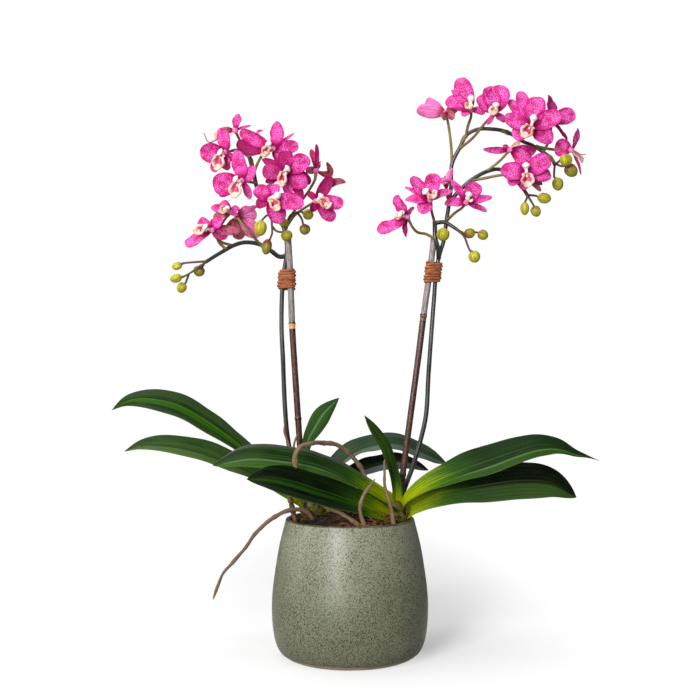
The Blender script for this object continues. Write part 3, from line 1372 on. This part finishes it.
# A lobe narrower than this is a tendril.
LOBE_WIDTH = 4
LOBE_TENDRIL_RADIUS = 0.9


def outline_share(t, rise, fall):
    """A rounded outline that is widest at rise / (rise + fall) of its length."""
    top = rise / (rise + fall)
    peak = top**rise * (1 - top) ** fall
    return np.maximum(t**rise * np.maximum(1 - t, 0) ** fall / peak, 0.03)


def bezier(a, b, c, t):
    """The points of a curve that bends from a to c over b, and its directions."""
    points = a * (1 - t) ** 2 + b * 2 * t * (1 - t) + c * t**2
    slopes = 2 * (1 - t) * (b - a) + 2 * t * (c - b)
    return points, unit(slopes)


def tepal_rise(t, c, half, size, draw):
    """How far a tepal stands off its middle: its cup, crease, ruffles and recurved tip."""
    bend = half * TEPAL_CUP * c**2 * draw.uniform(0.6, 1.8)
    crease = -0.28 * size * bell(c, 0, 0.16) * eased(0, 0.3, 1 - t)
    phases = draw.uniform(0, TURN, 2)
    beat = draw.uniform(1.0, 1.9, 2) * TURN
    left, right = (np.sin(beat[k] * t + phases[k]) for k in range(2))
    ruffle = np.sin(beat[1] * 3.1 * t + phases[0] + 2 * np.sign(c))
    wave = 0.9 * size * np.where(c < 0, left, right) + 0.22 * size * ruffle
    wave = wave * np.abs(c) ** 2.5 * eased(0.1, 0.4, t)
    recurve = -draw.uniform(-0.6, 1.4) * size * t**4
    return bend + crease + wave + recurve


def add_tepal(surface, middle, face, tepal, own, draw, finish):
    """A petal or sepal from the bloom's middle to its tip."""
    tip, width, *by = tepal
    end = middle + listed(tip)
    knee = middle + listed(by[0]) if by else (middle + end) / 2 + face * TEPAL_BOW
    rows, columns = TEPAL_GRID
    t = mix(TEPAL_START, 1, 1 - (1 - np.linspace(0, 1, rows)) ** TEPAL_CROWDING)[:, None]
    c = across_row(columns)
    centre, along = bezier(middle, knee, end, t)
    normal = unit(face - along * (along @ face)[:, None])
    side, normal = np.cross(along, normal)[:, None], normal[:, None]
    rise, fall = (0.7, 0.6) if width < NARROW_TEPAL else (0.62, draw.uniform(0.38, 0.56))
    half = TEPAL_FULLNESS * width / 2 * outline_share(t, rise, fall)
    offset = tepal_rise(t, c, half, min(1, width / FULL_TEPAL), draw)
    place = grid_about(centre, side, half * c, normal, offset)
    thickness = mix(TEPAL_MIDDLE_THICKNESS, TEPAL_EDGE_THICKNESS, np.abs(c))
    length = np.linalg.norm(end - middle)
    surface.sheet(place, normal, thickness, half * c, t * length, (c, t, own), finish)


def add_knob(surface, middle, along, length, radius, own):
    """An egg along a direction."""
    s = np.linspace(-1, 1, KNOB_GRID[0])
    points = middle + along * (s * length / 2)[:, None]
    radii = radius * np.sqrt(np.maximum(1 - s**2, 0.01))
    surface.tube(points, radii, KNOB_GRID[1], own)


def add_tendril(surface, route, radius, own, finish):
    """A thin thread that narrows to its tip."""
    rows, sides = TENDRIL_GRID
    surface.tube(smoothed(route, rows), np.linspace(radius, radius * 0.45, rows), sides, own, finish)


def add_bloom(surface, bloom, draw):
    """The tepals and lobes of a bloom, and the receptacle that they grow from."""
    middle = listed(bloom.at)
    face = unit(listed(bloom.face))
    for number, tepal in enumerate(bloom.tepals):
        tone = draw.uniform(0, BRIGHTEST_TONES)
        if number < len(bloom.tones):
            tone = bloom.tones[number]
        add_tepal(surface, middle, face, tepal, tone, draw, bloom.skins.get(number, PETAL))
    for number, lobe in enumerate(bloom.lobes, len(bloom.tepals)):
        tip, width, *by = lobe
        if width < LOBE_WIDTH:
            bow = face * 1.5 + listed([0, 0, 1.5])
            knee = middle + listed(by[0]) if by else middle + listed(tip) * 0.8 - bow
            route = [middle, mix(middle, knee, 0.6), knee, middle + listed(tip)]
            add_tendril(surface, route, LOBE_TENDRIL_RADIUS, 0.1, DUSTY)
        else:
            add_tepal(surface, middle, face, lobe, 0.9, draw, bloom.skins.get(number, TAN))
    add_knob(surface, middle, face, RECEPTACLE_RADIUS * 2, RECEPTACLE_RADIUS * 0.9, 0.5)


# Lips

LIP_SEAT = 3.0
LIP_NECK = 1.6
LIP_FORWARD = 1.0
LIP_GRID = (22, 19)
LIP_THICKNESS = 0.5
LIP_RISE = 3.2
LIP_INSET = 0.5
EAR_RISE = 1.3
EAR_CURL = 0.35
RIM_RADIUS = 1.05
RIM_POINTS = 60
RIM_SIDES = 10
COLUMN_FORWARD = 3.0
COLUMN_RADII = (1.3, 3.1)
COLUMN_POINTS = 22
COLUMN_SIDES = 16
TONGUE_GRID = (12, 13)
TONGUE_LENGTH = 6
TONGUE_HALF = 3.1
TONGUE_THICKNESS = 0.9
TONGUE_ROOT = 0.55
TONGUE_SEAT = 0.4
TONGUE_CURL = 2.4
LIP_TENDRIL_RADIUS = 0.42
CALLUS_LENGTH = 2.6
CALLUS_RADIUS = 1.1


def add_column(surface, seat, neck, tip, draw):
    """The white column over the lip, with a swollen head."""
    s = np.linspace(0, 1, COLUMN_POINTS)
    radii = mix(*COLUMN_RADII, bell(s, 0.74, 0.2)) * (1 + 0.1 * waves(draw, 3, 4, 12, s * 12))
    radii = radii * np.sqrt(np.clip((1.02 - s) / 0.12, 0.05, 1))
    route = smoothed([seat, neck, mix(neck, tip, 0.6), tip], COLUMN_POINTS)
    surface.tube(route, radii, COLUMN_SIDES, draw.uniform(), COLUMN)


def add_trough(surface, neck, tip, side, normal, widest, draw):
    """The body of the lip: a trough with raised ears, and a thick rim round it."""
    t, c = np.linspace(0.02, 1, LIP_GRID[0])[:, None], across_row(LIP_GRID[1])
    share = outline_share(t, 0.75, 0.6)
    half = (widest - LIP_INSET) * share
    ear = bell(t, 0.42, 0.2)
    rise = LIP_RISE * share * np.abs(c) ** 1.6 + EAR_RISE * ear * np.abs(c) ** 4
    curl = 1 - EAR_CURL * ear * np.abs(c) ** 6
    place = grid_about(neck + (tip - neck) * t, side, half * c * curl, normal, rise)
    own = np.maximum(0.1 + 0.85 * np.abs(c) ** 1.7, 0.9 * eased(0.72, 0.95, t))
    length = np.linalg.norm(tip - neck)
    surface.sheet(place, normal, LIP_THICKNESS, half * c, t * length, (c, t, own), LIP)
    rim = np.vstack([place[4:, 0], place[-1, 1:-1], place[:3:-1, -1]])
    thick = RIM_RADIUS * (1 + 0.25 * waves(draw, 3, 12, 30, np.arange(float(RIM_POINTS))))
    surface.tube(points_at(rim, np.linspace(0, 1, RIM_POINTS)), thick, RIM_SIDES, 1.0, LIP)


def add_tongue(surface, tip, along, side, normal, draw):
    """The lip's pale front lobe, which curls forward at its end."""
    t, c = np.linspace(0.02, 1, TONGUE_GRID[0])[:, None], across_row(TONGUE_GRID[1])
    half = TONGUE_HALF * draw.uniform(0.8, 1.15) * outline_share(t, 0.5, 0.4)
    reach = TONGUE_LENGTH * (t - TONGUE_ROOT)
    rise = TONGUE_SEAT + TONGUE_CURL * t**2
    line = tip + along * reach + normal * rise
    place = grid_about(line, side, half * c, normal, 0.5 * c**2)
    upright = unit(normal - along * 0.5)
    surface.sheet(place, upright, TONGUE_THICKNESS, half * c, t * TONGUE_LENGTH, (c, t, 1.2), LIP)


def add_lip(surface, bloom, draw):
    """A white column, and a lip with its callus, its tongue and two tendrils."""
    middle = listed(bloom.at)
    face = unit(listed(bloom.face))
    seat = middle + face * LIP_SEAT
    neck = seat + face * LIP_NECK
    tip = middle + listed(bloom.lip) + face * LIP_FORWARD
    add_column(surface, seat, neck, middle + listed(bloom.column) + face * COLUMN_FORWARD, draw)
    along = unit(tip - neck)
    normal = unit(face - along * (along @ face))
    side = np.cross(along, normal)
    add_trough(surface, neck, tip, side, normal, bloom.lip_half, draw)
    callus = neck + (tip - neck) * 0.3 + normal * 0.9
    add_knob(surface, callus, along, CALLUS_LENGTH, CALLUS_RADIUS, 0.8)
    add_tongue(surface, tip, along, side, normal, draw)
    root = tip - along * 0.5
    for way in (-1, 1):
        out = side * way
        reach = draw.uniform(2.5, 4.0)
        bend = root + along * 1.6 + out * reach * 0.6 + normal * 0.9
        end = root + along * draw.uniform(-0.5, 1.0) + out * reach + normal * draw.uniform(1.2, 2.4)
        route = [root, root + along * 1.2 + out * 0.8, bend, end]
        add_tendril(surface, route, LIP_TENDRIL_RADIUS, 0.95, LIP)


# Spikes

STEM_TONE = 0.2
STEM_SIDES = 16
BRACT_REACH = 4
BRACT_LENGTH = 6.5
BRACT_GRID = (12, 9)
BRACT_THICKNESS = 0.35
PEDICEL_POINTS = 26
PEDICEL_SIDES = 12
BUD_GRID = (22, 24)
STALK_POINTS = 20
STALK_SIDES = 10


def add_stem(surface, stem, bracts, draw):
    """A stem, with the dry scales that lie on it."""
    count = 30 + 8 * len(stem.route)
    points = smoothed(stem.route, count)
    run = lengths_along(points)
    radii = np.linspace(*stem.radii, count) * (1 + 0.03 * waves(draw, 4, 12, 60, run))
    surface.tube(points, radii, STEM_SIDES, STEM_TONE, STEM)
    for x, z in bracts:
        away = np.hypot(points[:, 0] - x, points[:, 2] - z)
        nearest = np.argmin(away)
        if away[nearest] < BRACT_REACH:
            add_bract(surface, points, run[nearest], radii[nearest], draw)


def add_bract(surface, points, place, radius, draw):
    """A short dry scale that hugs a stem just above a joint."""
    rows, columns = BRACT_GRID
    t = np.linspace(0, 1, rows)
    shares = (place + t * BRACT_LENGTH) / lengths_along(points)[-1]
    centre = points_at(points, np.minimum(shares, 1))
    across, other = steady_frames(centre)
    t = t[:, None]
    turn = draw.uniform(0, TURN)
    angle = 1.5 * np.sqrt(np.maximum(1 - t, 0.01)) * across_row(columns)
    outward = across[:, None] * np.cos(turn + angle)[..., None]
    outward = outward + other[:, None] * np.sin(turn + angle)[..., None]
    reach = radius + 0.2 + 0.35 * t**2
    middle = centre[:, None] + outward * reach[..., None]
    tone = (angle, t, 0.8)
    surface.sheet(middle, outward, BRACT_THICKNESS, angle * radius, t * BRACT_LENGTH, tone, PEDICEL)


def add_pedicel(surface, bloom, draw):
    """A bloom's stalk, flared at both ends."""
    middle = listed(bloom.at)
    route = [listed(p) for p in bloom.pedicel]
    route.append(middle + unit(route[-1] - middle) * RECEPTACLE_RADIUS * 0.8)
    s = np.linspace(0, 1, PEDICEL_POINTS)
    radii = mix(*PEDICEL_RADII, s) * (1 + 0.5 * eased(0.9, 1.0, s) + 0.35 * eased(0.08, 0.0, s))
    radii = radii * (1 + 0.05 * waves(draw, 3, 0.1, 0.4, s))
    surface.tube(smoothed(route, PEDICEL_POINTS), radii, PEDICEL_SIDES, draw.uniform(), PEDICEL)


def add_bud(surface, bud, draw):
    """A ribbed bud with a blunt beak, on a stalk."""
    middle, along = listed(bud.at), unit(listed(bud.tip))
    rows, sides = BUD_GRID
    s = np.linspace(0, 1, rows)
    points = middle + along * ((s - 0.5) * bud.height)[:, None]
    swell = np.maximum(1 - np.abs(2 * s**0.9 - 1) ** 2.3, 0) ** 0.6
    radii = bud.width / 2 * np.maximum(swell, np.where(s < 0.5, 0.22, 0.05))
    lobes = 1 - 0.09 * np.abs(np.cos(1.5 * angles_round(sides))) ** 6
    start = draw.normal(size=3)
    surface.tube(points, radii[:, None] * lobes[None], sides, bud.ripeness, BUD, start)
    line = smoothed([*listed(bud.stalk), middle - along * bud.height * 0.4], STALK_POINTS)
    shares = np.linspace(0, 1, STALK_POINTS)
    thick = mix(*BUD_STALK_RADII, shares) * (1 + 0.5 * eased(0.85, 1, shares))
    surface.tube(line, thick, STALK_SIDES, draw.uniform(), STALK)


# Stakes and ties

STAKE_POINTS = 420
STAKE_SIDES = 20
SMOOTHING = 35
NODE_WIDTH = 1.1
RING_WIDTH = 0.8
CUT_LENGTH = 4.2
CUT_SOFTNESS = 0.6
TIE_TURNS = 6
TIE_LENGTH = 17
TIE_STRANDS = 2
TIE_STRAND = 1.15
TIE_POINTS = 240
TIE_SIDES = 8
TIE_GAP = 0.7
TIE_WEAVE = 0.55


def point_at_height(route, height):
    route = sorted(route, key=lambda p: p[2])
    heights = [p[2] for p in route]
    return listed([np.interp(height, heights, [p[k] for p in route]) for k in range(2)] + [height])


def add_stake(surface, stake, draw):
    """A cane with swollen nodes, and a pale cut below the upper one, ringed in dark."""
    heights = np.linspace(stake.route[0][2], stake.route[-1][2], STAKE_POINTS)
    points = np.array([point_at_height(stake.route, h) for h in heights])
    for k in range(2):
        padded = np.pad(points[:, k], SMOOTHING // 2, "edge")
        points[:, k] = np.convolve(padded, np.ones(SMOOTHING) / SMOOTHING, "valid")
    radii = STAKE_RADIUS * (1 + 0.03 * waves(draw, 4, 20, 80, heights))
    for node in stake.nodes:
        radii = radii + (STAKE_NODE_RADIUS - STAKE_RADIUS) * bell(heights, node, NODE_WIDTH)
    surface.tube(points, radii, STAKE_SIDES, 0)
    place = surface.points[0][:, 2]
    *lower, cut = stake.nodes
    start = cut - CUT_LENGTH
    above = eased(cut, cut + CUT_SOFTNESS, place)
    pale = eased(start, start + CUT_SOFTNESS, place) * eased(cut + CUT_SOFTNESS, cut, place)
    surface.tone[0][:, 2] = np.where(pale > 0.5, stake.paleness, above)
    rings = [*lower, cut + 1.1, start - 0.8]
    surface.tone[0][:, 1] = sum(bell(place, ring, RING_WIDTH) for ring in rings)


def add_tie(surface, tie, draw):
    """Strands of raffia wound round a stake and a stem."""
    stake_name, spike_name, middle = tie
    stake = STAKES[stake_name].route
    stem = SPIKES[spike_name].stems[0].route
    share = np.linspace(0, 1, TIE_POINTS)
    for strand in range(TIE_STRANDS):
        phase = strand * TURN / TIE_STRANDS
        angle = share * TIE_TURNS * TURN + draw.uniform(0, 6)
        heights = middle + TIE_LENGTH * (share * 0.86 + 0.07 * strand * 2 - 0.5)
        route = []
        for a, h in zip(angle, heights):
            stake_at, stem_at = point_at_height(stake, h), point_at_height(stem, h)
            way = unit(stem_at - stake_at)
            sideways = np.cross([0, 0, 1], way)
            centre = mix(stake_at, stem_at, 0.5 + 0.5 * math.tanh(4 * math.cos(a)))
            reach = STAKE_RADIUS + TIE_GAP + TIE_WEAVE * math.sin(phase + 1.7 * a)
            route.append(centre + way * reach * math.cos(a) + sideways * reach * math.sin(a))
        thick = TIE_STRAND * (1 + 0.22 * waves(draw, 3, 14, 50, np.arange(float(TIE_POINTS))))
        surface.tube(np.array(route), thick, TIE_SIDES, 0.5, start=(0, 0, 1))


# Roots and crowns

ROOT_SIDES = 14
ROOT_STEP = 1.6
KNOT_SPACING = 18
KNOT_SWELL = 0.26
FORK_DARKNESS = 0.35
ROOT_DARKNESS = {"root_hanging": 0.7, "root_loop": 0.15, "root_forked": 0.25, "root_upright": 0.25}
HEART_GRID = (26, 36)
SHEATHS = 5
SHEATH_GRID = (16, 17)
SHEATH_THICKNESS = 0.5


def add_root(surface, root, own, draw, finish=0, knots=True):
    """A root with grooves, knots and a wandering line."""
    length = lengths_along(curve_through(root.route))[-1]
    count = max(24, int(length / ROOT_STEP))
    run = np.linspace(0, length, count)
    wobble = np.stack([waves(draw, 3, 7, 30, run) for _ in range(ROOT_SIDES)], axis=1)
    wobble = (wobble + np.roll(wobble, 1, axis=1) + np.roll(wobble, -1, axis=1)) / 3
    thick = np.linspace(*root.radii, count) * (1 + 0.12 * waves(draw, 4, 8, 40, run))
    if knots:
        for place in draw.uniform(0, length, int(length / KNOT_SPACING)):
            thick = thick * (1 + KNOT_SWELL * bell(run, place, 1.8))
    rings = thick[:, None] * (1 + 0.12 * wobble)
    rings[-3:] *= listed([0.9, 0.7, 0.35])[:, None]
    drift = 0.35 * np.stack([waves(draw, 3, 14, 50, run) for _ in range(3)], axis=1)
    drift = drift * eased(0, 10, run)[:, None] * eased(0, 10, length - run)[:, None]
    surface.tube(smoothed(root.route, count) + drift, rings, ROOT_SIDES, own, finish)


def add_heart(surface, middle, radii):
    """The ribbed core of a crown."""
    rows, sides = HEART_GRID
    s = np.linspace(-0.97, 0.97, rows)
    points = middle + listed([0, 0, 1]) * (s * radii[2])[:, None]
    girth = np.sqrt(1 - s**2)[:, None] * (1 + 0.05 * np.cos(5 * angles_round(sides))[None])
    surface.tube(points, girth * ((radii[0] + radii[1]) / 2) * 0.94, sides, 0.3, SHEATH)


def add_crown(surface, crown, draw):
    """The yellow-green heart that the leaves grow from, wrapped in old leaf sheaths."""
    middle, radii = listed(crown.at), listed(crown.radii)
    add_heart(surface, middle, radii)
    rows, columns = SHEATH_GRID
    t, c = np.linspace(0, 1, rows)[:, None], across_row(columns)
    for number in range(SHEATHS):
        turn = TURN * number / SHEATHS + draw.uniform(-0.3, 0.3)
        angle = turn + c * 0.95 * (1 - 0.8 * t**2)
        height = mix(-0.75, draw.uniform(0.45, 0.8), t) - 0.12 * c**2
        girth = np.sqrt(np.maximum(1 - height**2, 0.05)) + 0.07 + 0.22 * t**3
        girth = girth * (1 + 0.02 * np.cos(9 * math.pi * c))
        outward = stacked(np.cos(angle), np.sin(angle), 0.0)
        place = middle + outward * (girth * radii[:2].mean())[..., None]
        place[..., 2] += height * radii[2]
        tone = (c, t, 0.5 + 0.1 * number)
        surface.sheet(place, outward, SHEATH_THICKNESS, c * 8.0, t * radii[2], tone, SHEATH)


# Pot and fill

FIBRE_STEPS = 9
FIBRE_SIDES = 4
FIBRE_START_RADIUS = 47.5
FIBRE_REACH_RADIUS = 48.2
MOUND_RADIUS = 50.5
MOUND_RINGS = 40
BED_TONE = 0.2
BED_ROUGHNESS = 0.9
RIM_STEPS = 12
INSIDE_STEP = 6
INSIDE_LOWEST = 10

# Where fibres and moss lie on the mound: the seed, the count, the middle, how far round it they
# start, their lengths, their radii, their finish, how high the first point may lie, their tones.
FIBRES = (
    (6, 900, (0, 0), 50, (10, 26), (0.22, 0.4), COIR, 1.2, (0, 0.3)),
    (7, 300, (8, -32), 24, (14, 38), (0.26, 0.48), COIR, 4.0, (0.1, 1)),
    (8, 260, (-30, 0), 17, (4, 10), (0.25, 0.5), MOSS, 4.0, (0, 0.5)),
    (9, 140, (36, -8), 14, (4, 9), (0.25, 0.5), MOSS, 3.0, (0.5, 1)),
)


def mound_height(radius):
    return mix(FILL_CROWN_HEIGHT, FILL_EDGE_HEIGHT, np.minimum(radius / MOUND_RADIUS, 1) ** 2)


def fibre_routes(draw, count, centre, reach, length, lift):
    """The routes of curled fibres that start scattered over the mound about a point."""
    angle, distance = draw.uniform(0, TURN, count), reach * np.sqrt(draw.uniform(0, 1, count))
    x, y = centre[0] + distance * np.cos(angle), centre[1] + distance * np.sin(angle)
    shrink = np.minimum(1, FIBRE_START_RADIUS / np.hypot(x, y))
    x, y = x * shrink, y * shrink
    heading = draw.uniform(0, TURN, count)
    bend = draw.uniform(-0.75, 0.75, count)
    size = draw.uniform(*length, count) / FIBRE_STEPS
    rise = draw.uniform(-0.5, 0.75, count)
    points = np.zeros((count, FIBRE_STEPS, 3))
    points[:, 0] = stacked(x, y, mound_height(np.hypot(x, y)) + draw.uniform(-0.6, lift, count))
    for k in range(1, FIBRE_STEPS):
        heading = heading + bend
        lean = rise * math.cos(math.pi * k / (FIBRE_STEPS - 1))
        step = stacked(np.cos(heading), np.sin(heading), lean) * size[:, None]
        points[:, k] = points[:, k - 1] + step
    flat = np.hypot(points[..., 0], points[..., 1])
    points[..., :2] *= np.minimum(1, FIBRE_REACH_RADIUS / flat)[..., None]
    return points


def add_fibres(surface, seed, count, centre, reach, length, thick, finish, lift, tones):
    """Curled fibres, which taper from start to end."""
    draw = draws(seed)
    points = fibre_routes(draw, count, centre, reach, length, lift)
    tangent = unit(np.gradient(points, axis=1))
    level = unit(np.cross(tangent, [0, 0, 1.0]) + 1e-6)
    other = np.cross(tangent, level)
    turn = angles_round(FIBRE_SIDES)[:, None]
    girth = draw.uniform(*thick, count)[:, None] * np.linspace(1, 0.5, FIBRE_STEPS)[None]
    ring = level[:, :, None] * np.cos(turn) + other[:, :, None] * np.sin(turn)
    places = points[:, :, None] + ring * girth[..., None, None]
    own = mix(*tones, draw.uniform(0, 1, count) ** 2)[:, None, None]
    share = np.linspace(0, 1, FIBRE_STEPS)[None, :, None]
    tone = stacked(np.zeros(FIBRE_SIDES), share, own)
    numbers = surface.vertices(places, np.zeros(3), tone)
    around = np.roll(numbers, -1, axis=2)
    quads = [numbers[:, :-1], around[:, :-1], around[:, 1:], numbers[:, 1:]]
    surface.faces(np.stack(quads, axis=-1), finish)
    surface.faces(numbers[:, 0, ::-1], finish)
    surface.faces(numbers[:, -1], finish)


def lathe(surface, profile, sides, own=0.0, finish=0):
    """A body of revolution from (radius, height) that starts and ends on the axis."""
    profile = listed(profile)
    angles = angles_round(sides)
    radius, height = profile[1:-1, :1], profile[1:-1, 1:]
    points = stacked(radius * np.cos(angles), radius * np.sin(angles), height)
    numbers = surface.vertices(points, (0, 0, 0), (0, 0, own))
    surface.grid(numbers, finish, closed=True)
    for end in (0, -1):
        tip = listed([0, 0, profile[end][1]])
        surface.cap(numbers[end], tip, (0, 0, 0), (0, 0, own), finish, end == 0)


def pot_profile():
    """The pot's smooth section: recessed foot, swelling wall, rounded rim and the inside."""
    wall = curve_through([(r, 0, z) for r, z in WALL[1:]])[:, [0, 2]]
    wall[:, 0] = np.minimum(wall[:, 0], WALL[WIDEST][0])
    middle = wall[-1][0] - POT_WALL / 2
    rim = [
        (middle + POT_WALL / 2 * math.cos(a), POT_HEIGHT - RIM_ROUND + RIM_ROUND * math.sin(a))
        for a in np.linspace(0, math.pi, RIM_STEPS)[1:-1]
    ]
    inside = [(r - POT_WALL, z) for r, z in wall[::-INSIDE_STEP] if z > INSIDE_LOWEST]
    return [*FOOT, *wall, *rim, *inside, (CAVITY_FLOOR_RADIUS, POT_FLOOR), (0, POT_FLOOR)]


def add_bed(surface, draw):
    """The mound of coir, with a rough top."""
    radii = [FILL_RADIUS * share for share in np.linspace(0, 1, MOUND_RINGS)[::-1]]
    mound = [(r, mound_height(r)) for r in radii]
    lathe(surface, [*FILL_SIDE, *mound], FILL_SIDES, BED_TONE, BED)
    points = surface.points[0]
    top = points[:, 2] > FILL_EDGE_HEIGHT - 1
    points[top, 2] += draw.uniform(-BED_ROUGHNESS, BED_ROUGHNESS, top.sum())


# Assembly

root_skin = root_finish()

pot = Surface()
lathe(pot, pot_profile(), POT_SIDES)
pot.build("pot_glazed", [glaze_finish()], ["pot"])

fill = Surface()
add_bed(fill, draws(5))
for patch in FIBRES:
    add_fibres(fill, *patch)
fill.build("coir_bed_and_fibres", [peat_finish(), coir_finish(), moss_finish()], ["coir_fill"])

for number, (name, leaf) in enumerate(LEAVES.items()):
    blade = Surface()
    add_leaf(blade, leaf, 0.1 + number)
    blade.build(name + "_blade", [leaf_finish(name)], [name])

sheath = crown_finish()
for number, (name, crown) in enumerate(CROWNS.items()):
    heart = Surface()
    draw = draws(20, number)
    add_crown(heart, crown, draw)
    add_leaf(heart, crown.blade, 11.1 + number, BLADE, CROWN_BLADE_GRID)
    for rootlet in crown.rootlets:
        add_root(heart, rootlet, 0.5, draw, ROOTLET, knots=False)
    heart.build(name + "_heart", [sheath, leaf_finish(name), root_skin], [name])

for number, (name, root) in enumerate(ROOTS.items()):
    body = Surface()
    draw = draws(30, number)
    add_root(body, root, ROOT_DARKNESS[name], draw)
    if name == "root_forked":
        add_root(body, ROOT_FORK, FORK_DARKNESS, draw)
    body.build(name + "_skin", [root_skin], [name])

cane = stake_finish()
for number, (name, stake) in enumerate(STAKES.items()):
    body = Surface()
    add_stake(body, stake, draws(40, number))
    body.build(name + "_cane", [cane], [name])

raffia = raffia_finish()
for number, (name, tie) in enumerate(TIES.items()):
    body = Surface()
    add_tie(body, tie, draws(50, number))
    body.build(name + "_winding", [raffia], [name])

stem_skins = [stem_finish(), pedicel_finish(), stalk_finish(), bud_finish()]
for number, (name, spike) in enumerate(SPIKES.items()):
    body = Surface()
    draw = draws(60, number)
    for stem in spike.stems:
        add_stem(body, stem, spike.bracts, draw)
    for bloom_name, bloom in BLOOMS.items():
        if bloom_name.startswith(name.replace("spike", "bloom")):
            add_pedicel(body, bloom, draw)
    for bud in spike.buds:
        add_bud(body, bud, draw)
    body.build(name + "_stems_and_buds", stem_skins, [name])

lip = lip_finish()
petals = [petal_finish("petal_cloth", PETAL_MAGENTA), lip, petal_finish("dusty_cloth", PETAL_DUSTY)]
lip_skins = [lip, column_finish()]
for number, (name, bloom) in enumerate(BLOOMS.items()):
    body = Surface()
    add_bloom(body, bloom, draws(70, number))
    body.build(name + "_petals", petals, [name])
    if bloom.lip:
        centre = Surface()
        add_lip(centre, bloom, draws(80, number))
        node = name.replace("bloom", "lip")
        centre.build(node + "_and_column", lip_skins, [node])


# Floor and backdrop

STAGE_SIDES = 96
FLOOR_RADIUS = 0.95
FLOOR_HEIGHT = -0.0002
FLOOR_FADE = (0.25, 0.9)
FLOOR_NEAR = (-0.06, 0.1, 0.3, 1.0)
FLOOR_GLOW = 0.02
BACKDROP_RADIUS = 7
BACKDROP_HEIGHT = 6
BACKDROP_DEPTH = -0.001
BACKDROP_RINGS = 24
SKY = 0.24
WHITE = (1, 1, 1, 1)
BLACK = (0, 0, 0, 1)


def floor_finish():
    """Matt white that fades out away from the object, where the white backdrop takes over."""
    f = Finish("floor_white", 0.9, {"Emission Color": WHITE, "Emission Strength": FLOOR_GLOW})
    x, y, _ = f.split(f.place)
    near = f.spread(y, *FLOOR_NEAR)
    x, y = f.times(x, 1 / FLOOR_FADE[0]), f.times(y, 1 / FLOOR_FADE[1])
    away = f.math("SQRT", f.plus(f.times(x, x), f.times(y, y)))
    f.put(f.shader.inputs["Alpha"], f.times(f.spread(away, 0.3, 1.0, 1.0, 0.0), near))
    f.body = (0.92, 0.92, 0.92)
    return f.finished()


def ring_points(radius, height):
    return [(radius * math.cos(a), radius * math.sin(a), height) for a in angles_round(STAGE_SIDES)]


def stage_piece(name, points, faces, material):
    mesh = bpy.data.meshes.new(name)
    mesh.from_pydata(points, [], faces)
    mesh.materials.append(material)
    return in_scene(name, mesh)


def dome(name, radius, height, depth, material):
    """A closed bright shell, which only the camera sees."""
    points = []
    for tilt in np.linspace(0, math.pi / 2, BACKDROP_RINGS, endpoint=False):
        points += ring_points(radius * math.cos(tilt), depth + height * math.sin(tilt))
    points.append((0, 0, depth + height))
    around = [(i, (i + 1) % STAGE_SIDES) for i in range(STAGE_SIDES)]
    faces = [tuple(range(STAGE_SIDES))]
    for low in range(0, (BACKDROP_RINGS - 1) * STAGE_SIDES, STAGE_SIDES):
        high = low + STAGE_SIDES
        faces += [(low + i, low + after, high + after, high + i) for i, after in around]
    last = (BACKDROP_RINGS - 1) * STAGE_SIDES
    faces += [(last + i, last + after, last + STAGE_SIDES) for i, after in around]
    return stage_piece(name, points, faces, material)


disc = [tuple(range(STAGE_SIDES))]
floor = stage_piece("floor", ring_points(FLOOR_RADIUS, FLOOR_HEIGHT), disc, floor_finish())
glow = {"Base Color": BLACK, "Emission Color": WHITE, "Emission Strength": 1.0}
white = Finish("backdrop_white", 0.8, glow).material
backdrop = dome("backdrop", BACKDROP_RADIUS, BACKDROP_HEIGHT, BACKDROP_DEPTH, white)
for ray in ("diffuse", "glossy", "transmission", "volume_scatter", "shadow"):
    setattr(backdrop, "visible_" + ray, False)
floor.visible_diffuse = False


# Light and camera

# Each softbox as its place, what it aims at, its size and its power in watts.
SOFTBOXES = {
    "key": ((-0.85, -1.75, 1.0), (0, 0, 0.2), (0.6, 1.2), 29.5),
    "low": ((-0.62, -2.0, 0.5), (0, 0, 0.15), (0.4, 0.4), 19),
    "right": ((0.75, -1.9, 0.5), (0, 0, 0.15), (0.5, 0.4), 3.5),
    "top": ((-0.6, 0.3, 1.9), (0, 0, 0.1), (1.2, 1.2), 20),
    "side": ((-1.5, -0.2, 0.5), (0, 0, 0.08), (0.7, 0.7), 6),
}


def softbox(name, place, aim, size, power):
    light = bpy.data.lights.new(name, "AREA")
    light.shape = "RECTANGLE"
    light.size, light.size_y = size
    light.energy = power
    made = in_scene(name, light)
    made.location = place
    made.rotation_euler = (Vector(aim) - Vector(place)).to_track_quat("-Z", "Y").to_euler()


for name, setting in SOFTBOXES.items():
    softbox(name, *setting)

scene = bpy.context.scene
scene.world = bpy.data.worlds.new("studio")
scene.world.use_nodes = True
sky = scene.world.node_tree.nodes["Background"]
sky.inputs["Color"].default_value = WHITE
sky.inputs["Strength"].default_value = SKY
scene.view_settings.view_transform = "Standard"

lens = bpy.data.cameras.new("camera")
lens.lens = CAMERA_LENS
lens.sensor_width = SENSOR_WIDTH
lens.clip_start, lens.clip_end = 0.05, 50
camera = in_scene("camera", lens)
camera.location = (0, -CAMERA_DISTANCE, CAMERA_HEIGHT)
camera.rotation_euler = (math.pi / 2, 0, 0)
scene.camera = camera
